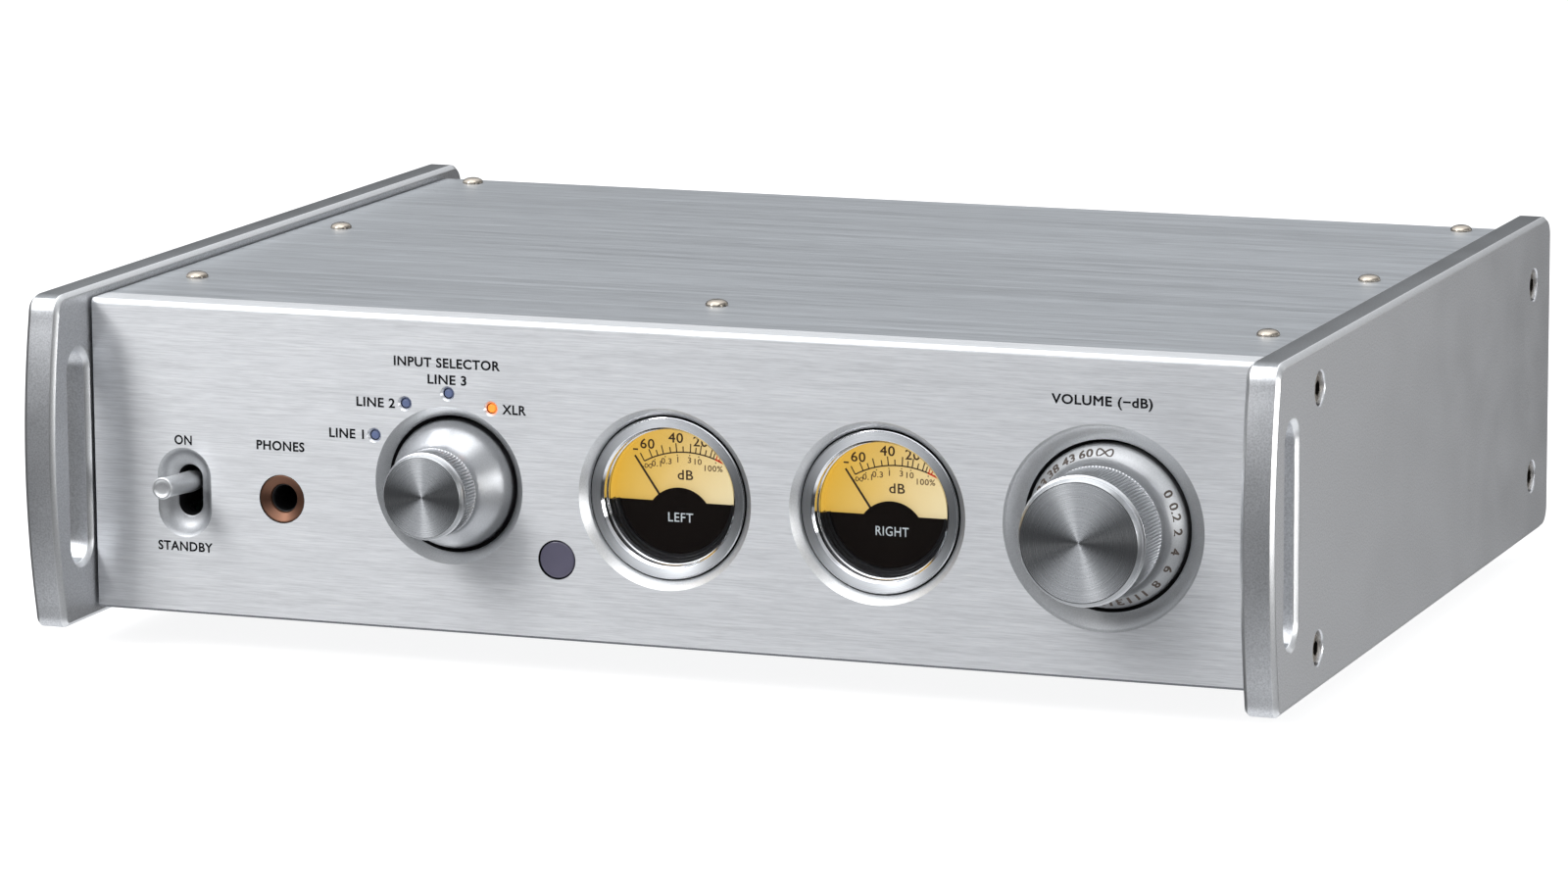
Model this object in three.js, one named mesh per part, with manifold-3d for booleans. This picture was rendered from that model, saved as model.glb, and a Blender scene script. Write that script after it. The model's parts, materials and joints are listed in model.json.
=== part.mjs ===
// Integrated stereo amplifier in a half-width aluminium case.
// Millimetres. X runs to the right as seen from the front, Y to the rear, Z up.
// The origin is at the centre of the footprint, on the surface that the feet stand on.
import * as THREE from "three";
import { mergeVertices } from "three/addons/utils/BufferGeometryUtils.js";
import Module from "manifold-3d";

const wasm = await Module();
wasm.setup();

// ---------------------------------------------------------------- driving dimensions

const WIDTH = 290;
const DEPTH = 264;
const FOOT_HEIGHT = 6;
const SIDE_HEIGHT = 75.2;
const SIDE_THICKNESS = 7.6;
const SIDE_CHAMFER = 1;
const SIDE_DEPTH = 210; // from the front panel's face to the side panel's rear edge
const NOSE = 19.5; // how far the side panels stand in front of the front panel's face
const NOSE_ENDS = 15.9; // the same, at the top and bottom of the bowed edge
const CORNER = 5; // rear corners of the side panels

const SLOT_WIDTH = 9.5;
const SLOT_LENGTH = 48.2;
const SLOT_DEPTH = -6.35; // centre line of the grip slot, measured from the front face
const SLOT_HEIGHT = 37.6; // centre of the grip slot above the side panel's lower edge

const PANEL_HALF_WIDTH = 136.8;
const PANEL_THICKNESS = 8;
const PANEL_BOTTOM = 2.1; // heights are above the side panel's lower edge
const PANEL_TOP = 72.8;
const PANEL_TOP_RADIUS = 1.2;
const PANEL_LOWER_CHAMFER = 0.6;
const CONTROL_HEIGHT = 35.2; // centre line of the knobs and meters

const COVER_THICKNESS = 1.6;
const COVER_TOP = 72.65;
const COVER_REAR = 198.5;

const GAP = 0.3; // clearance between neighbouring pieces

const FACE_Y = NOSE - DEPTH / 2; // the front panel's face
const SIDE_BASE = FOOT_HEIGHT;
const CENTRE_Z = SIDE_BASE + CONTROL_HEIGHT;

// ---------------------------------------------------------------- geometry helpers

const FINE = 30; // segments of a large circle
const MEDIUM = 16;
const COARSE = 10;

// A closed three.js geometry becomes a manifold solid with its faces pointing out.
function solid(geometry) {
  const plain = geometry.index ? geometry.toNonIndexed() : geometry.clone();
  plain.deleteAttribute("normal");
  plain.deleteAttribute("uv");
  const merged = mergeVertices(plain, 1e-4);
  const p = merged.attributes.position.array;
  const triangles = [];
  let volume = 0;
  for (let i = 0; i < merged.index.count; i += 3) {
    const [a, b, c] = [0, 1, 2].map((k) => merged.index.getX(i + k));
    if (a === b || b === c || c === a) continue;
    triangles.push([a, b, c]);
    const [u, v, w] = [a, b, c].map((k) => new THREE.Vector3().fromArray(p, 3 * k));
    volume += u.dot(v.cross(w));
  }
  const outward = volume < 0 ? triangles.map(([a, b, c]) => [a, c, b]) : triangles;
  const mesh = new wasm.Mesh({
    numProp: 3,
    vertProperties: new Float32Array(p),
    triVerts: new Uint32Array(outward.flat()),
  });
  return new wasm.Manifold(mesh);
}

function geometryOf(body) {
  const mesh = body.getMesh();
  const geometry = new THREE.BufferGeometry();
  const points = new Float32Array(mesh.vertProperties);
  geometry.setAttribute("position", new THREE.BufferAttribute(points, 3));
  geometry.setIndex(new THREE.BufferAttribute(new Uint32Array(mesh.triVerts), 1));
  geometry.computeVertexNormals();
  return geometry;
}

const join = (first, ...others) => others.reduce((sum, other) => sum.add(other), first);
const cut = (first, ...others) => others.reduce((rest, other) => rest.subtract(other), first);

// A pair of limits in rising order, and a pair about zero.
const span = (a, b) => [Math.min(a, b), Math.max(a, b)];
const centred = (size) => [-size / 2, size / 2];

function block([x0, x1], [y0, y1], [z0, z1]) {
  const box = new THREE.BoxGeometry(x1 - x0, y1 - y0, z1 - z0);
  return solid(box.translate((x0 + x1) / 2, (y0 + y1) / 2, (z0 + z1) / 2));
}

// A profile of [radius, y] points turned about the Y axis through (x, z).
function turned(profile, [x, z] = [0, 0], segments = MEDIUM) {
  const points = profile.map(([radius, y]) => new THREE.Vector2(radius, y));
  return solid(new THREE.LatheGeometry(points, segments).translate(x, 0, z));
}

function rod(radius, [y0, y1], centre = [0, 0], segments = COARSE) {
  return turned([[0, y0], [radius, y0], [radius, y1], [0, y1]], centre, segments);
}

// The same rods and profiles, standing along Z through (x, y).
function turnedUp(profile, [x, y] = [0, 0], segments = MEDIUM) {
  const points = profile.map(([radius, z]) => new THREE.Vector2(radius, z));
  return solid(new THREE.LatheGeometry(points, segments).rotateX(Math.PI / 2).translate(x, y, 0));
}

function rodUp(radius, [z0, z1], centre = [0, 0], segments = COARSE) {
  return turnedUp([[0, z0], [radius, z0], [radius, z1], [0, z1]], centre, segments);
}

// A rod along X through (y, z).
function rodAcross(radius, [x0, x1], [y, z], segments = COARSE) {
  const cylinder = new THREE.CylinderGeometry(radius, radius, x1 - x0, segments);
  return solid(cylinder.rotateZ(Math.PI / 2).translate((x0 + x1) / 2, y, z));
}

// Extrusions: a shape drawn in (y, z) runs along X, one drawn in (x, z) runs along Y.
const ALONG_X = new THREE.Matrix4().makeBasis(
  new THREE.Vector3(0, 1, 0),
  new THREE.Vector3(0, 0, 1),
  new THREE.Vector3(1, 0, 0),
);

function extrudedAlongX(shape, [x0, x1], options = {}) {
  const settings = { depth: x1 - x0, bevelEnabled: false, ...options };
  const geometry = new THREE.ExtrudeGeometry(shape, settings);
  return solid(geometry.applyMatrix4(ALONG_X).translate(x0, 0, 0));
}

function extrudedAlongY(shape, [y0, y1]) {
  const geometry = new THREE.ExtrudeGeometry(shape, { depth: y1 - y0, bevelEnabled: false });
  return solid(geometry.rotateX(Math.PI / 2).translate(0, y1, 0));
}

function polygon(points) {
  return new THREE.Shape(points.map(([a, b]) => new THREE.Vector2(a, b)));
}

// A cutter whose outline is a capsule standing along Z: profile holds [half width, y] points.
function capsuleCutter(profile, [x, z], halfSpan) {
  const half = profile.filter(([radius]) => radius > 0);
  const outline = [...half.map(([r, y]) => [r, y]), ...half.map(([r, y]) => [-r, y]).reverse()];
  const settings = { depth: 2 * halfSpan, bevelEnabled: false };
  const middle = new THREE.ExtrudeGeometry(polygon(outline), settings);
  return join(
    turned(profile, [x, z - halfSpan]),
    turned(profile, [x, z + halfSpan]),
    solid(middle.translate(x, 0, z - halfSpan)),
  );
}

// ---------------------------------------------------------------- materials

function finish(color, roughness, metalness) {
  return new THREE.MeshStandardMaterial({ color, roughness, metalness });
}

const MATERIAL = {
  brushed: finish(0xd3d5d7, 0.36, 1),
  blasted: finish(0xbfc1c4, 0.5, 1),
  turnedSilver: finish(0xc9cbce, 0.3, 1),
  sheet: finish(0x9b9ea2, 0.5, 1),
  black: finish(0x16171a, 0.5, 0.6),
  nickel: finish(0xb9b2a4, 0.25, 1),
  chrome: finish(0xd8dadd, 0.08, 1),
  copper: finish(0x9a5c43, 0.3, 1),
  gold: finish(0xc9a24b, 0.3, 1),
  blackPlastic: finish(0x141416, 0.45, 0),
  redPlastic: finish(0x9c1c1e, 0.4, 0),
  dial: finish(0xe3b84a, 0.6, 0),
  glass: finish(0xe8eef2, 0.03, 0),
  lampBlue: finish(0x5a6b90, 0.25, 0),
  lampOrange: finish(0xf08a2e, 0.25, 0),
  window: finish(0x45424f, 0.15, 0),
  pointer: finish(0x241710, 0.5, 0.2),
  board: finish(0x1f5a3a, 0.5, 0),
  winding: finish(0xc7a23a, 0.5, 0.1),
};

const amplifier = new THREE.Group();
amplifier.name = "amplifier";

// Everything on the front is placed from the centre of the front panel's face:
// x across, y behind the face, z above the line of the knobs.
const front = new THREE.Group();
front.position.set(0, FACE_Y, CENTRE_Z);
amplifier.add(front);

// The case is placed from the front face and the side panels' lower edge.
const shell = new THREE.Group();
shell.position.set(0, FACE_Y, SIDE_BASE);
amplifier.add(shell);

function place(parent, name, body, material, position = [0, 0, 0]) {
  const mesh = new THREE.Mesh(geometryOf(body), material);
  mesh.name = name;
  mesh.position.set(...position);
  parent.add(mesh);
  return mesh;
}

// ---------------------------------------------------------------- fasteners' places

// [depth behind the face, height above the side panel's lower edge]
const SIDE_BOLTS = {
  front_lower: [14, 9.4],
  front_upper: [14, 65.6],
  rear_lower: [194, 14.5],
  rear_upper: [194, 60.5],
};
const BOLT = {
  shank: 1.9,
  hole: 2.2,
  head: 3.4,
  headHeight: 3.5,
  sink: 4.2,
  sinkRadius: 3.77,
  socket: 1.75,
  socketDepth: 2,
  length: 11.6,
};

const COVER_SCREW_X = 127.3;
const COVER_SCREW_ROWS = { front: 34.8, middle: 114, rear: 193.4 };
const SCREW = { head: 2.55, headHeight: 1.35, rimHeight: 0.6, shank: 1.35, hole: 1.65, length: 4.2 };
const CROSS = { half: 1.5, width: 0.7 };

function coverScrewPlaces() {
  const places = { centre: [0, COVER_SCREW_ROWS.front] };
  for (const [row, y] of Object.entries(COVER_SCREW_ROWS)) {
    places[`${row}_left`] = [-COVER_SCREW_X, y];
    places[`${row}_right`] = [COVER_SCREW_X, y];
  }
  return places;
}

// ---------------------------------------------------------------- side panels

function sideOutline() {
  const top = SIDE_HEIGHT;
  const middle = SIDE_HEIGHT / 2;
  const shape = new THREE.Shape();
  shape.moveTo(-13.7, 0);
  shape.lineTo(SIDE_DEPTH - CORNER, 0);
  shape.absarc(SIDE_DEPTH - CORNER, CORNER, CORNER, -Math.PI / 2, 0);
  shape.absarc(SIDE_DEPTH - CORNER, top - CORNER, CORNER, 0, Math.PI / 2);
  shape.lineTo(-11, top);
  shape.quadraticCurveTo(-15.6, top, -NOSE_ENDS, top - 4.4);
  shape.quadraticCurveTo(NOSE_ENDS - 2 * NOSE, middle, -NOSE_ENDS, 3.4);
  shape.quadraticCurveTo(-15.6, 0, -13.7, 0);
  return shape;
}

function gripSlot() {
  const radius = SLOT_WIDTH / 2;
  const reach = SLOT_LENGTH / 2 - radius;
  const slot = new THREE.Path();
  slot.absarc(SLOT_DEPTH, SLOT_HEIGHT + reach, radius, 0, Math.PI);
  slot.absarc(SLOT_DEPTH, SLOT_HEIGHT - reach, radius, Math.PI, 2 * Math.PI);
  slot.closePath();
  return slot;
}

function sidePanel(side) {
  const shape = sideOutline();
  shape.holes.push(gripSlot());
  const inner = WIDTH / 2 - SIDE_THICKNESS;
  const plate = extrudedAlongX(shape, [0, SIDE_THICKNESS - 2 * SIDE_CHAMFER], {
    curveSegments: 6,
    bevelEnabled: true,
    bevelSize: SIDE_CHAMFER,
    bevelThickness: SIDE_CHAMFER,
    bevelOffset: -SIDE_CHAMFER,
    bevelSegments: 1,
  }).translate([inner + SIDE_CHAMFER, 0, 0]);
  const drills = Object.values(SIDE_BOLTS).flatMap((place) => [
    rodAcross(BOLT.sinkRadius, [WIDTH / 2 - BOLT.sink, WIDTH / 2 + 1], place),
    rodAcross(BOLT.hole, [inner - 1, WIDTH / 2], place),
  ]);
  const right = cut(plate, ...drills);
  return side > 0 ? right : right.mirror([1, 0, 0]);
}

function sideBolt(side) {
  const seat = WIDTH / 2 - BOLT.sink + 0.1;
  const head = rodAcross(BOLT.head, [seat, seat + BOLT.headHeight], [0, 0], MEDIUM);
  const shank = rodAcross(BOLT.shank, [seat - BOLT.length, seat + 0.5], [0, 0]);
  const rim = seat + BOLT.headHeight;
  const socket = rodAcross(BOLT.socket, [rim - BOLT.socketDepth, rim + 1], [0, 0], 6);
  const right = cut(join(head, shank), socket);
  return side > 0 ? right : right.mirror([1, 0, 0]);
}

for (const [hand, side] of [["left", -1], ["right", 1]]) {
  place(shell, `side_panel_${hand}`, sidePanel(side), MATERIAL.blasted);
  for (const [corner, [y, z]] of Object.entries(SIDE_BOLTS)) {
    place(shell, `side_bolt_${hand}_${corner}`, sideBolt(side), MATERIAL.nickel, [0, y, z]);
  }
}

// ---------------------------------------------------------------- top cover and its screws

function topCover() {
  const plate = block(
    [-PANEL_HALF_WIDTH + 0.1, PANEL_HALF_WIDTH - 0.1],
    [PANEL_THICKNESS + GAP, COVER_REAR],
    [COVER_TOP - COVER_THICKNESS, COVER_TOP],
  );
  const drill = [COVER_TOP - COVER_THICKNESS - 1, COVER_TOP + 1];
  const holes = Object.values(coverScrewPlaces()).map((place) => rodUp(SCREW.hole, drill, place));
  return cut(plate, ...holes);
}

function coverScrew() {
  const { head, headHeight, rimHeight, shank, length } = SCREW;
  const body = turnedUp(
    [
      [0, -length],
      [shank, -length],
      [shank, 0.05],
      [head, 0.05],
      [head, rimHeight],
      [head * 0.6, headHeight],
      [0, headHeight],
    ],
    [0, 0],
    12,
  );
  const wing = block([-CROSS.half, CROSS.half], centred(CROSS.width), [rimHeight, headHeight + 1]);
  return cut(body, wing, wing.rotate([0, 0, 90]));
}

place(shell, "top_cover", topCover(), MATERIAL.brushed);
for (const [name, [x, y]] of Object.entries(coverScrewPlaces())) {
  place(shell, `cover_screw_${name}`, coverScrew(), MATERIAL.nickel, [x, y, COVER_TOP]);
}

// ---------------------------------------------------------------- chassis and feet

const CHASSIS = {
  bottom: 3.2,
  sheet: 2,
  wall: 3,
  top: 70.75,
  half: 136.4,
  lip: 121,
  lipHeight: 68.2,
  lipFront: 21,
  rear: 198.3,
};
const CROSS_BAR = { y: [28.5, 41], z: [66.7, 70.75] };
const FEET = { front_left: [-112, 62], front_right: [112, 62], rear: [0, 176] };
const FOOT = { top: 14, bottom: 11, taper: 4.5, edge: 0.6, stud: 2, studLength: 5, studHole: 2.3 };
const VENTS = { x: [-100, -60], rows: [88, 100, 112, 124, 136, 148], width: 4 };

function chassis() {
  const { bottom, sheet, wall, top, half, lip, lipHeight, lipFront, rear } = CHASSIS;
  const start = PANEL_THICKNESS + GAP;
  const floor = block([-half, half], [start, rear], [bottom, bottom + sheet]);
  const walls = [-1, 1].flatMap((side) => [
    block(span(side * half, side * (half - wall)), [start, rear], [bottom, top]),
    block(span(side * half, side * lip), [lipFront, rear], [lipHeight, top]),
  ]);
  const bar = block([-lip - 1, lip + 1], CROSS_BAR.y, CROSS_BAR.z);
  const across = [-half - 1, half + 1];
  const throughFloor = [bottom - 1, bottom + sheet + 1];
  const throughLip = [CROSS_BAR.z[0] - 1, top + 1];
  const bolts = Object.values(SIDE_BOLTS).map((place) => rodAcross(BOLT.hole, across, place));
  const screws = Object.values(coverScrewPlaces()).map((place) => rodUp(SCREW.hole, throughLip, place));
  const studs = Object.values(FEET).map((place) => rodUp(FOOT.studHole, throughFloor, place));
  const vents = VENTS.rows.map((y) => block(VENTS.x, [y, y + VENTS.width], throughFloor));
  return cut(join(floor, ...walls, bar), ...bolts, ...screws, ...studs, ...vents);
}

function foot() {
  const top = FOOT_HEIGHT + CHASSIS.bottom - GAP;
  return turnedUp(
    [
      [0, 0],
      [FOOT.bottom - FOOT.edge, 0],
      [FOOT.bottom, FOOT.edge],
      [FOOT.top, FOOT.taper],
      [FOOT.top, top],
      [FOOT.stud, top],
      [FOOT.stud, top + FOOT.studLength],
      [0, top + FOOT.studLength],
    ],
    [0, 0],
    18,
  );
}

place(shell, "chassis", chassis(), MATERIAL.sheet);
for (const [name, [x, y]] of Object.entries(FEET)) {
  place(shell, `foot_${name}`, foot(), MATERIAL.black, [x, y, -FOOT_HEIGHT]);
}

// ---------------------------------------------------------------- front panel

const SELECTOR = { x: -50.2, rim: 17.65, bore: 15.32, step: 2.6, floor: 5.5 };
const VOLUME = { x: 101.4, rim: 22.6, bore: 18.73, step: 3.1, floor: 6.2 };
const METERS = { left: 1, right: 50.2 };
const METER = { rim: 20.2, hole: 18.3, step: 2.3 };
const LAMP_CIRCLE = 20.6;
const LAMPS = { line_1: -60, line_2: -30, line_3: 0, balanced: 30 }; // degrees clockwise from the top
const LAMP = { rim: 1.65, hole: 1.2, step: 0.9, guide: 1, rear: 29.6 };
const WINDOW = { x: -24.6, z: -15, radius: 4.14 };
const LEVER = { x: -114.75, z: -5.45 };
const LEVER_DISH = { halfSpan: 3.6, slotHalf: 2.95, slotSpan: 2.9 };
const JACK = { x: -90.8, z: -5.5, collar: 5.37, bore: 3.25, body: 8, barrelFront: 3.3, rear: 34 };
const SPINDLE = 3;
const BOSS = { x: [122, 133.1], depth: 20, bottom: 5.5, top: 70.5, drill: 9 };

function lampPlace(degrees) {
  const angle = (degrees * Math.PI) / 180;
  return [SELECTOR.x + LAMP_CIRCLE * Math.sin(angle), LAMP_CIRCLE * Math.cos(angle)];
}

const LEVER_DISH_PROFILE = [[0, -1], [6.6, -1], [6.6, 0], [5.9, 0.8], [4.9, 2], [3.4, 3], [0, 3]];

// The span of a bolt hole in a boss, from its outer side inwards.
const bossDrill = (side) => span(side * (BOSS.x[1] + 1), side * (BOSS.x[1] - BOSS.drill));

function panelProfile() {
  const bottom = PANEL_BOTTOM - CONTROL_HEIGHT;
  const top = PANEL_TOP - CONTROL_HEIGHT;
  const shape = new THREE.Shape();
  shape.moveTo(PANEL_LOWER_CHAMFER, bottom);
  shape.lineTo(PANEL_THICKNESS, bottom);
  shape.lineTo(PANEL_THICKNESS, top);
  shape.lineTo(PANEL_TOP_RADIUS, top);
  shape.absarc(PANEL_TOP_RADIUS, top - PANEL_TOP_RADIUS, PANEL_TOP_RADIUS, Math.PI / 2, Math.PI);
  shape.lineTo(0, bottom + PANEL_LOWER_CHAMFER);
  shape.closePath();
  return shape;
}

// A dished recess: a cone from the rim at the face to a straight bore.
function dish({ rim, bore, step, floor }) {
  return [[0, -1], [rim, -1], [rim, 0], [bore, step], [bore, floor], [0, floor]];
}

function frontPanel() {
  const through = PANEL_THICKNESS + 1;
  const plate = extrudedAlongX(panelProfile(), [-PANEL_HALF_WIDTH, PANEL_HALF_WIDTH], { curveSegments: 5 });
  const bossHeights = [BOSS.bottom - CONTROL_HEIGHT, BOSS.top - CONTROL_HEIGHT];
  const bosses = [-1, 1].map((side) =>
    block(span(side * BOSS.x[0], side * BOSS.x[1]), [PANEL_THICKNESS - 1, BOSS.depth], bossHeights),
  );
  const boltHoles = [SIDE_BOLTS.front_lower, SIDE_BOLTS.front_upper].flatMap(([y, z]) =>
    [-1, 1].map((side) => rodAcross(BOLT.hole, bossDrill(side), [y, z - CONTROL_HEIGHT])),
  );
  const lampProfile = dish({ rim: LAMP.rim, bore: LAMP.hole, step: LAMP.step, floor: through });
  const lamps = Object.values(LAMPS).map((degrees) => turned(lampProfile, lampPlace(degrees), COARSE));
  const meterProfile = dish({ rim: METER.rim, bore: METER.hole, step: METER.step, floor: through });
  const meters = Object.values(METERS).map((x) => turned(meterProfile, [x, 0], FINE));
  const volumeDish = [
    [0, -1],
    [VOLUME.rim, -1],
    [VOLUME.rim, 0],
    [VOLUME.rim - 0.5, 0.6],
    [VOLUME.bore, VOLUME.step],
    [VOLUME.bore, VOLUME.floor],
    [0, VOLUME.floor],
  ];
  const leverSlot = [
    [0, 1],
    [LEVER_DISH.slotHalf, 1],
    [LEVER_DISH.slotHalf, through],
    [0, through],
  ];
  return cut(
    join(plate, ...bosses),
    ...boltHoles,
    ...lamps,
    ...meters,
    turned(dish(SELECTOR), [SELECTOR.x, 0], FINE),
    rod(SPINDLE + GAP, [0, through], [SELECTOR.x, 0]),
    turned(volumeDish, [VOLUME.x, 0], FINE),
    rod(SPINDLE + GAP, [0, through], [VOLUME.x, 0]),
    rod(WINDOW.radius + GAP, [-1, through], [WINDOW.x, WINDOW.z], MEDIUM),
    capsuleCutter(LEVER_DISH_PROFILE, [LEVER.x, LEVER.z], LEVER_DISH.halfSpan),
    capsuleCutter(leverSlot, [LEVER.x, LEVER.z], LEVER_DISH.slotSpan),
    rod(JACK.collar + 0.15, [-1, through], [JACK.x, JACK.z], MEDIUM),
  );
}

place(front, "front_panel", frontPanel(), MATERIAL.brushed);

// ---------------------------------------------------------------- knobs, spindles and encoders

// Profiles hold [radius, y]: the face is the most negative y, the back is inside the recess.
const VOLUME_PROFILE = [
  [0, -16.75],
  [13.16, -16.75],
  [13.9, -15],
  [14.2, -14.6],
  [14.2, -3.2],
  [14.6, -0.8],
  [15.4, 0.3],
  [17.7, 2.4],
  [17.93, 2.9],
  [17.93, 5.8],
];
const SELECTOR_PROFILE = [
  [0, -15],
  [9.03, -15],
  [9.75, -13.2],
  [9.75, -7.3],
  [10.4, -5],
  [12.6, -1.9],
  [13.9, 0.5],
  [14.53, 2.8],
  [14.53, 5.1],
];
const KNOB_BORE_DEPTH = -9; // where the blind bore for the spindle ends

function knob(profile) {
  const back = profile.at(-1)[1];
  const bore = SPINDLE + GAP;
  const inside = [[bore, back], [bore, KNOB_BORE_DEPTH], [0, KNOB_BORE_DEPTH]];
  return turned([...profile, ...inside], [0, 0], FINE);
}

const ENCODER = { bushing: 4.6, body: 9, depth: [10.6, 23], spindleEnd: 20 };

function encoder() {
  const body = block([-ENCODER.body, ENCODER.body], ENCODER.depth, [-ENCODER.body, ENCODER.body]);
  const bushing = rod(ENCODER.bushing, [PANEL_THICKNESS + GAP, ENCODER.depth[0] + 1], [0, 0], MEDIUM);
  const bore = rod(SPINDLE + GAP, [0, ENCODER.spindleEnd + GAP]);
  return cut(join(body, bushing), bore);
}

const KNOBS = [
  ["volume", VOLUME, VOLUME_PROFILE],
  ["selector", SELECTOR, SELECTOR_PROFILE],
];
for (const [name, spec, profile] of KNOBS) {
  place(front, `${name}_knob`, knob(profile), MATERIAL.turnedSilver, [spec.x, 0, 0]);
  const spindle = rod(SPINDLE, [KNOB_BORE_DEPTH + GAP, ENCODER.spindleEnd]);
  place(front, `${name}_spindle`, spindle, MATERIAL.nickel, [spec.x, 0, 0]);
  place(front, `${name}_encoder`, encoder(), MATERIAL.black, [spec.x, 0, 0]);
}

// ---------------------------------------------------------------- indicator lamps and remote window

for (const [name, degrees] of Object.entries(LAMPS)) {
  const [x, z] = lampPlace(degrees);
  const { guide, rear } = LAMP;
  const profile = [[0, 0.7], [guide * 0.8, 0.85], [guide, 1.3], [guide, rear], [0, rear]];
  const colour = name === "balanced" ? MATERIAL.lampOrange : MATERIAL.lampBlue;
  place(front, `lamp_${name}`, turned(profile, [0, 0], COARSE), colour, [x, 0, z]);
}
const pane = rod(WINDOW.radius, [0.15, 3], [0, 0], MEDIUM);
place(front, "remote_window", pane, MATERIAL.window, [WINDOW.x, 0, WINDOW.z]);

// ---------------------------------------------------------------- power lever and its switch

const PIVOT = 33; // the lever's pivot, behind the face
const LEVER_TILT = 3.8; // degrees up at ON; STANDBY is the same below the centre line
const LEVER_RADIUS = 2.45;
const LEVER_TIP = 44.7; // from the pivot to the tip
const EYE = { radius: 3.6, half: 2.6, bore: 1.5, pin: 1.2 };
const SWITCH = {
  plate: { thickness: 1.7, half: 6.6, height: 13, openingHalf: 3.6, openingHeight: 7.5 },
  arms: { x: [4.2, 6], rear: 40, height: 5 },
  body: { half: 7, height: 9, depth: [39, 54] },
};

// Built along -Y from its pivot at the origin, then tilted up.
function powerLever() {
  const tip = -LEVER_TIP;
  const bat = turned(
    [
      [0, tip],
      [2.3, tip],
      [LEVER_RADIUS, tip + 0.3],
      [LEVER_RADIUS, tip + 1.4],
      [2.25, tip + 1.6],
      [2.35, tip + 9],
      [LEVER_RADIUS, tip + 15],
      [2, tip + 19],
      [1.7, -1],
      [0, -1],
    ],
    [0, 0],
    16,
  );
  const eye = rodAcross(EYE.radius, [-EYE.half, EYE.half], [0, 0], 16);
  const bore = rodAcross(EYE.bore, [-EYE.half - 1, EYE.half + 1], [0, 0]);
  return cut(join(bat, eye), bore).rotate([-LEVER_TILT, 0, 0]);
}

function powerSwitch() {
  const { plate, arms, body } = SWITCH;
  const start = PANEL_THICKNESS + GAP;
  const mountPlate = cut(
    block(centred(2 * plate.half), [start, start + plate.thickness], centred(2 * plate.height)),
    block(centred(2 * plate.openingHalf), [start - 1, start + 3], centred(2 * plate.openingHeight)),
  );
  const bothArms = [-1, 1].map((side) =>
    block(span(side * arms.x[0], side * arms.x[1]), [start + 1, arms.rear], centred(2 * arms.height)),
  );
  const pin = rodAcross(EYE.pin, centred(arms.x[0] + arms.x[1]), [PIVOT, 0]);
  const box = block(centred(2 * body.half), body.depth, centred(2 * body.height));
  return join(mountPlate, ...bothArms, pin, box);
}

place(front, "power_lever", powerLever(), MATERIAL.chrome, [LEVER.x, PIVOT, LEVER.z]);
place(front, "power_switch", powerSwitch(), MATERIAL.black, [LEVER.x, 0, LEVER.z]);

// ---------------------------------------------------------------- headphone socket

// The socket's body is open at its rear, so a plug of any length goes in.
function phonesJack() {
  const { collar, body, barrelFront, rear, bore } = JACK;
  const barrel = rod(collar - 0.2, [barrelFront, PANEL_THICKNESS + 4], [0, 0], MEDIUM);
  const box = block([-body, body], [PANEL_THICKNESS + GAP, rear], [-body, body]);
  return cut(join(barrel, box), rod(bore, [barrelFront - 1, rear + 1], [0, 0], MEDIUM));
}

const collarProfile = [
  [JACK.bore, 1],
  [JACK.collar - 0.35, 0.05],
  [JACK.collar, 0.25],
  [JACK.collar, 3],
  [JACK.bore, 3],
  [JACK.bore, 1],
];
const collar = turned(collarProfile, [0, 0], 20);
place(front, "phones_jack", phonesJack(), MATERIAL.blackPlastic, [JACK.x, 0, JACK.z]);
place(front, "phones_collar", collar, MATERIAL.copper, [JACK.x, 0, JACK.z]);

// ---------------------------------------------------------------- level meters

const BEZEL = { outer: 18, inner: 15.5, seat: 14.9, rear: 5 };
const GLASS = { radius: 15.1, depth: [2.6, 3.6] };
const DIAL_DEPTH = 8.1; // the dial plate, behind the front panel's face
const NEEDLE = { pivot: -6.4, reach: 17.5, rest: -34.3, half: 0.22, depth: [7.3, 7.65] };
const COIL = { radius: 4.4, depth: [10.2, 16.2], cavity: 5.6 };
const MAGNET = { half: 11, depth: [12, 28], z: [-15, 9] };

const bezelProfile = [
  [BEZEL.outer, 1.8],
  [BEZEL.outer - 0.3, 1.5],
  [BEZEL.inner, 2.2],
  [BEZEL.inner, 4.2],
  [BEZEL.seat, 4.2],
  [BEZEL.seat, BEZEL.rear],
  [BEZEL.outer, BEZEL.rear],
  [BEZEL.outer, 1.8],
];

function movement() {
  const rim = BEZEL.rear + GAP;
  const cupProfile = [
    [0, DIAL_DEPTH],
    [15.4, DIAL_DEPTH],
    [15.4, rim],
    [17.8, rim],
    [17.8, 12],
    [13, 14],
    [0, 14],
    [0, DIAL_DEPTH],
  ];
  const cup = turned(cupProfile, [0, 0], FINE);
  const magnet = block([-MAGNET.half, MAGNET.half], MAGNET.depth, MAGNET.z);
  const axle = rod(1.5, [DIAL_DEPTH - 1, 12], [0, NEEDLE.pivot]);
  const cavity = rod(COIL.cavity, [DIAL_DEPTH + 1, 30], [0, NEEDLE.pivot], 16);
  return cut(join(cup, magnet), axle, cavity);
}

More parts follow.
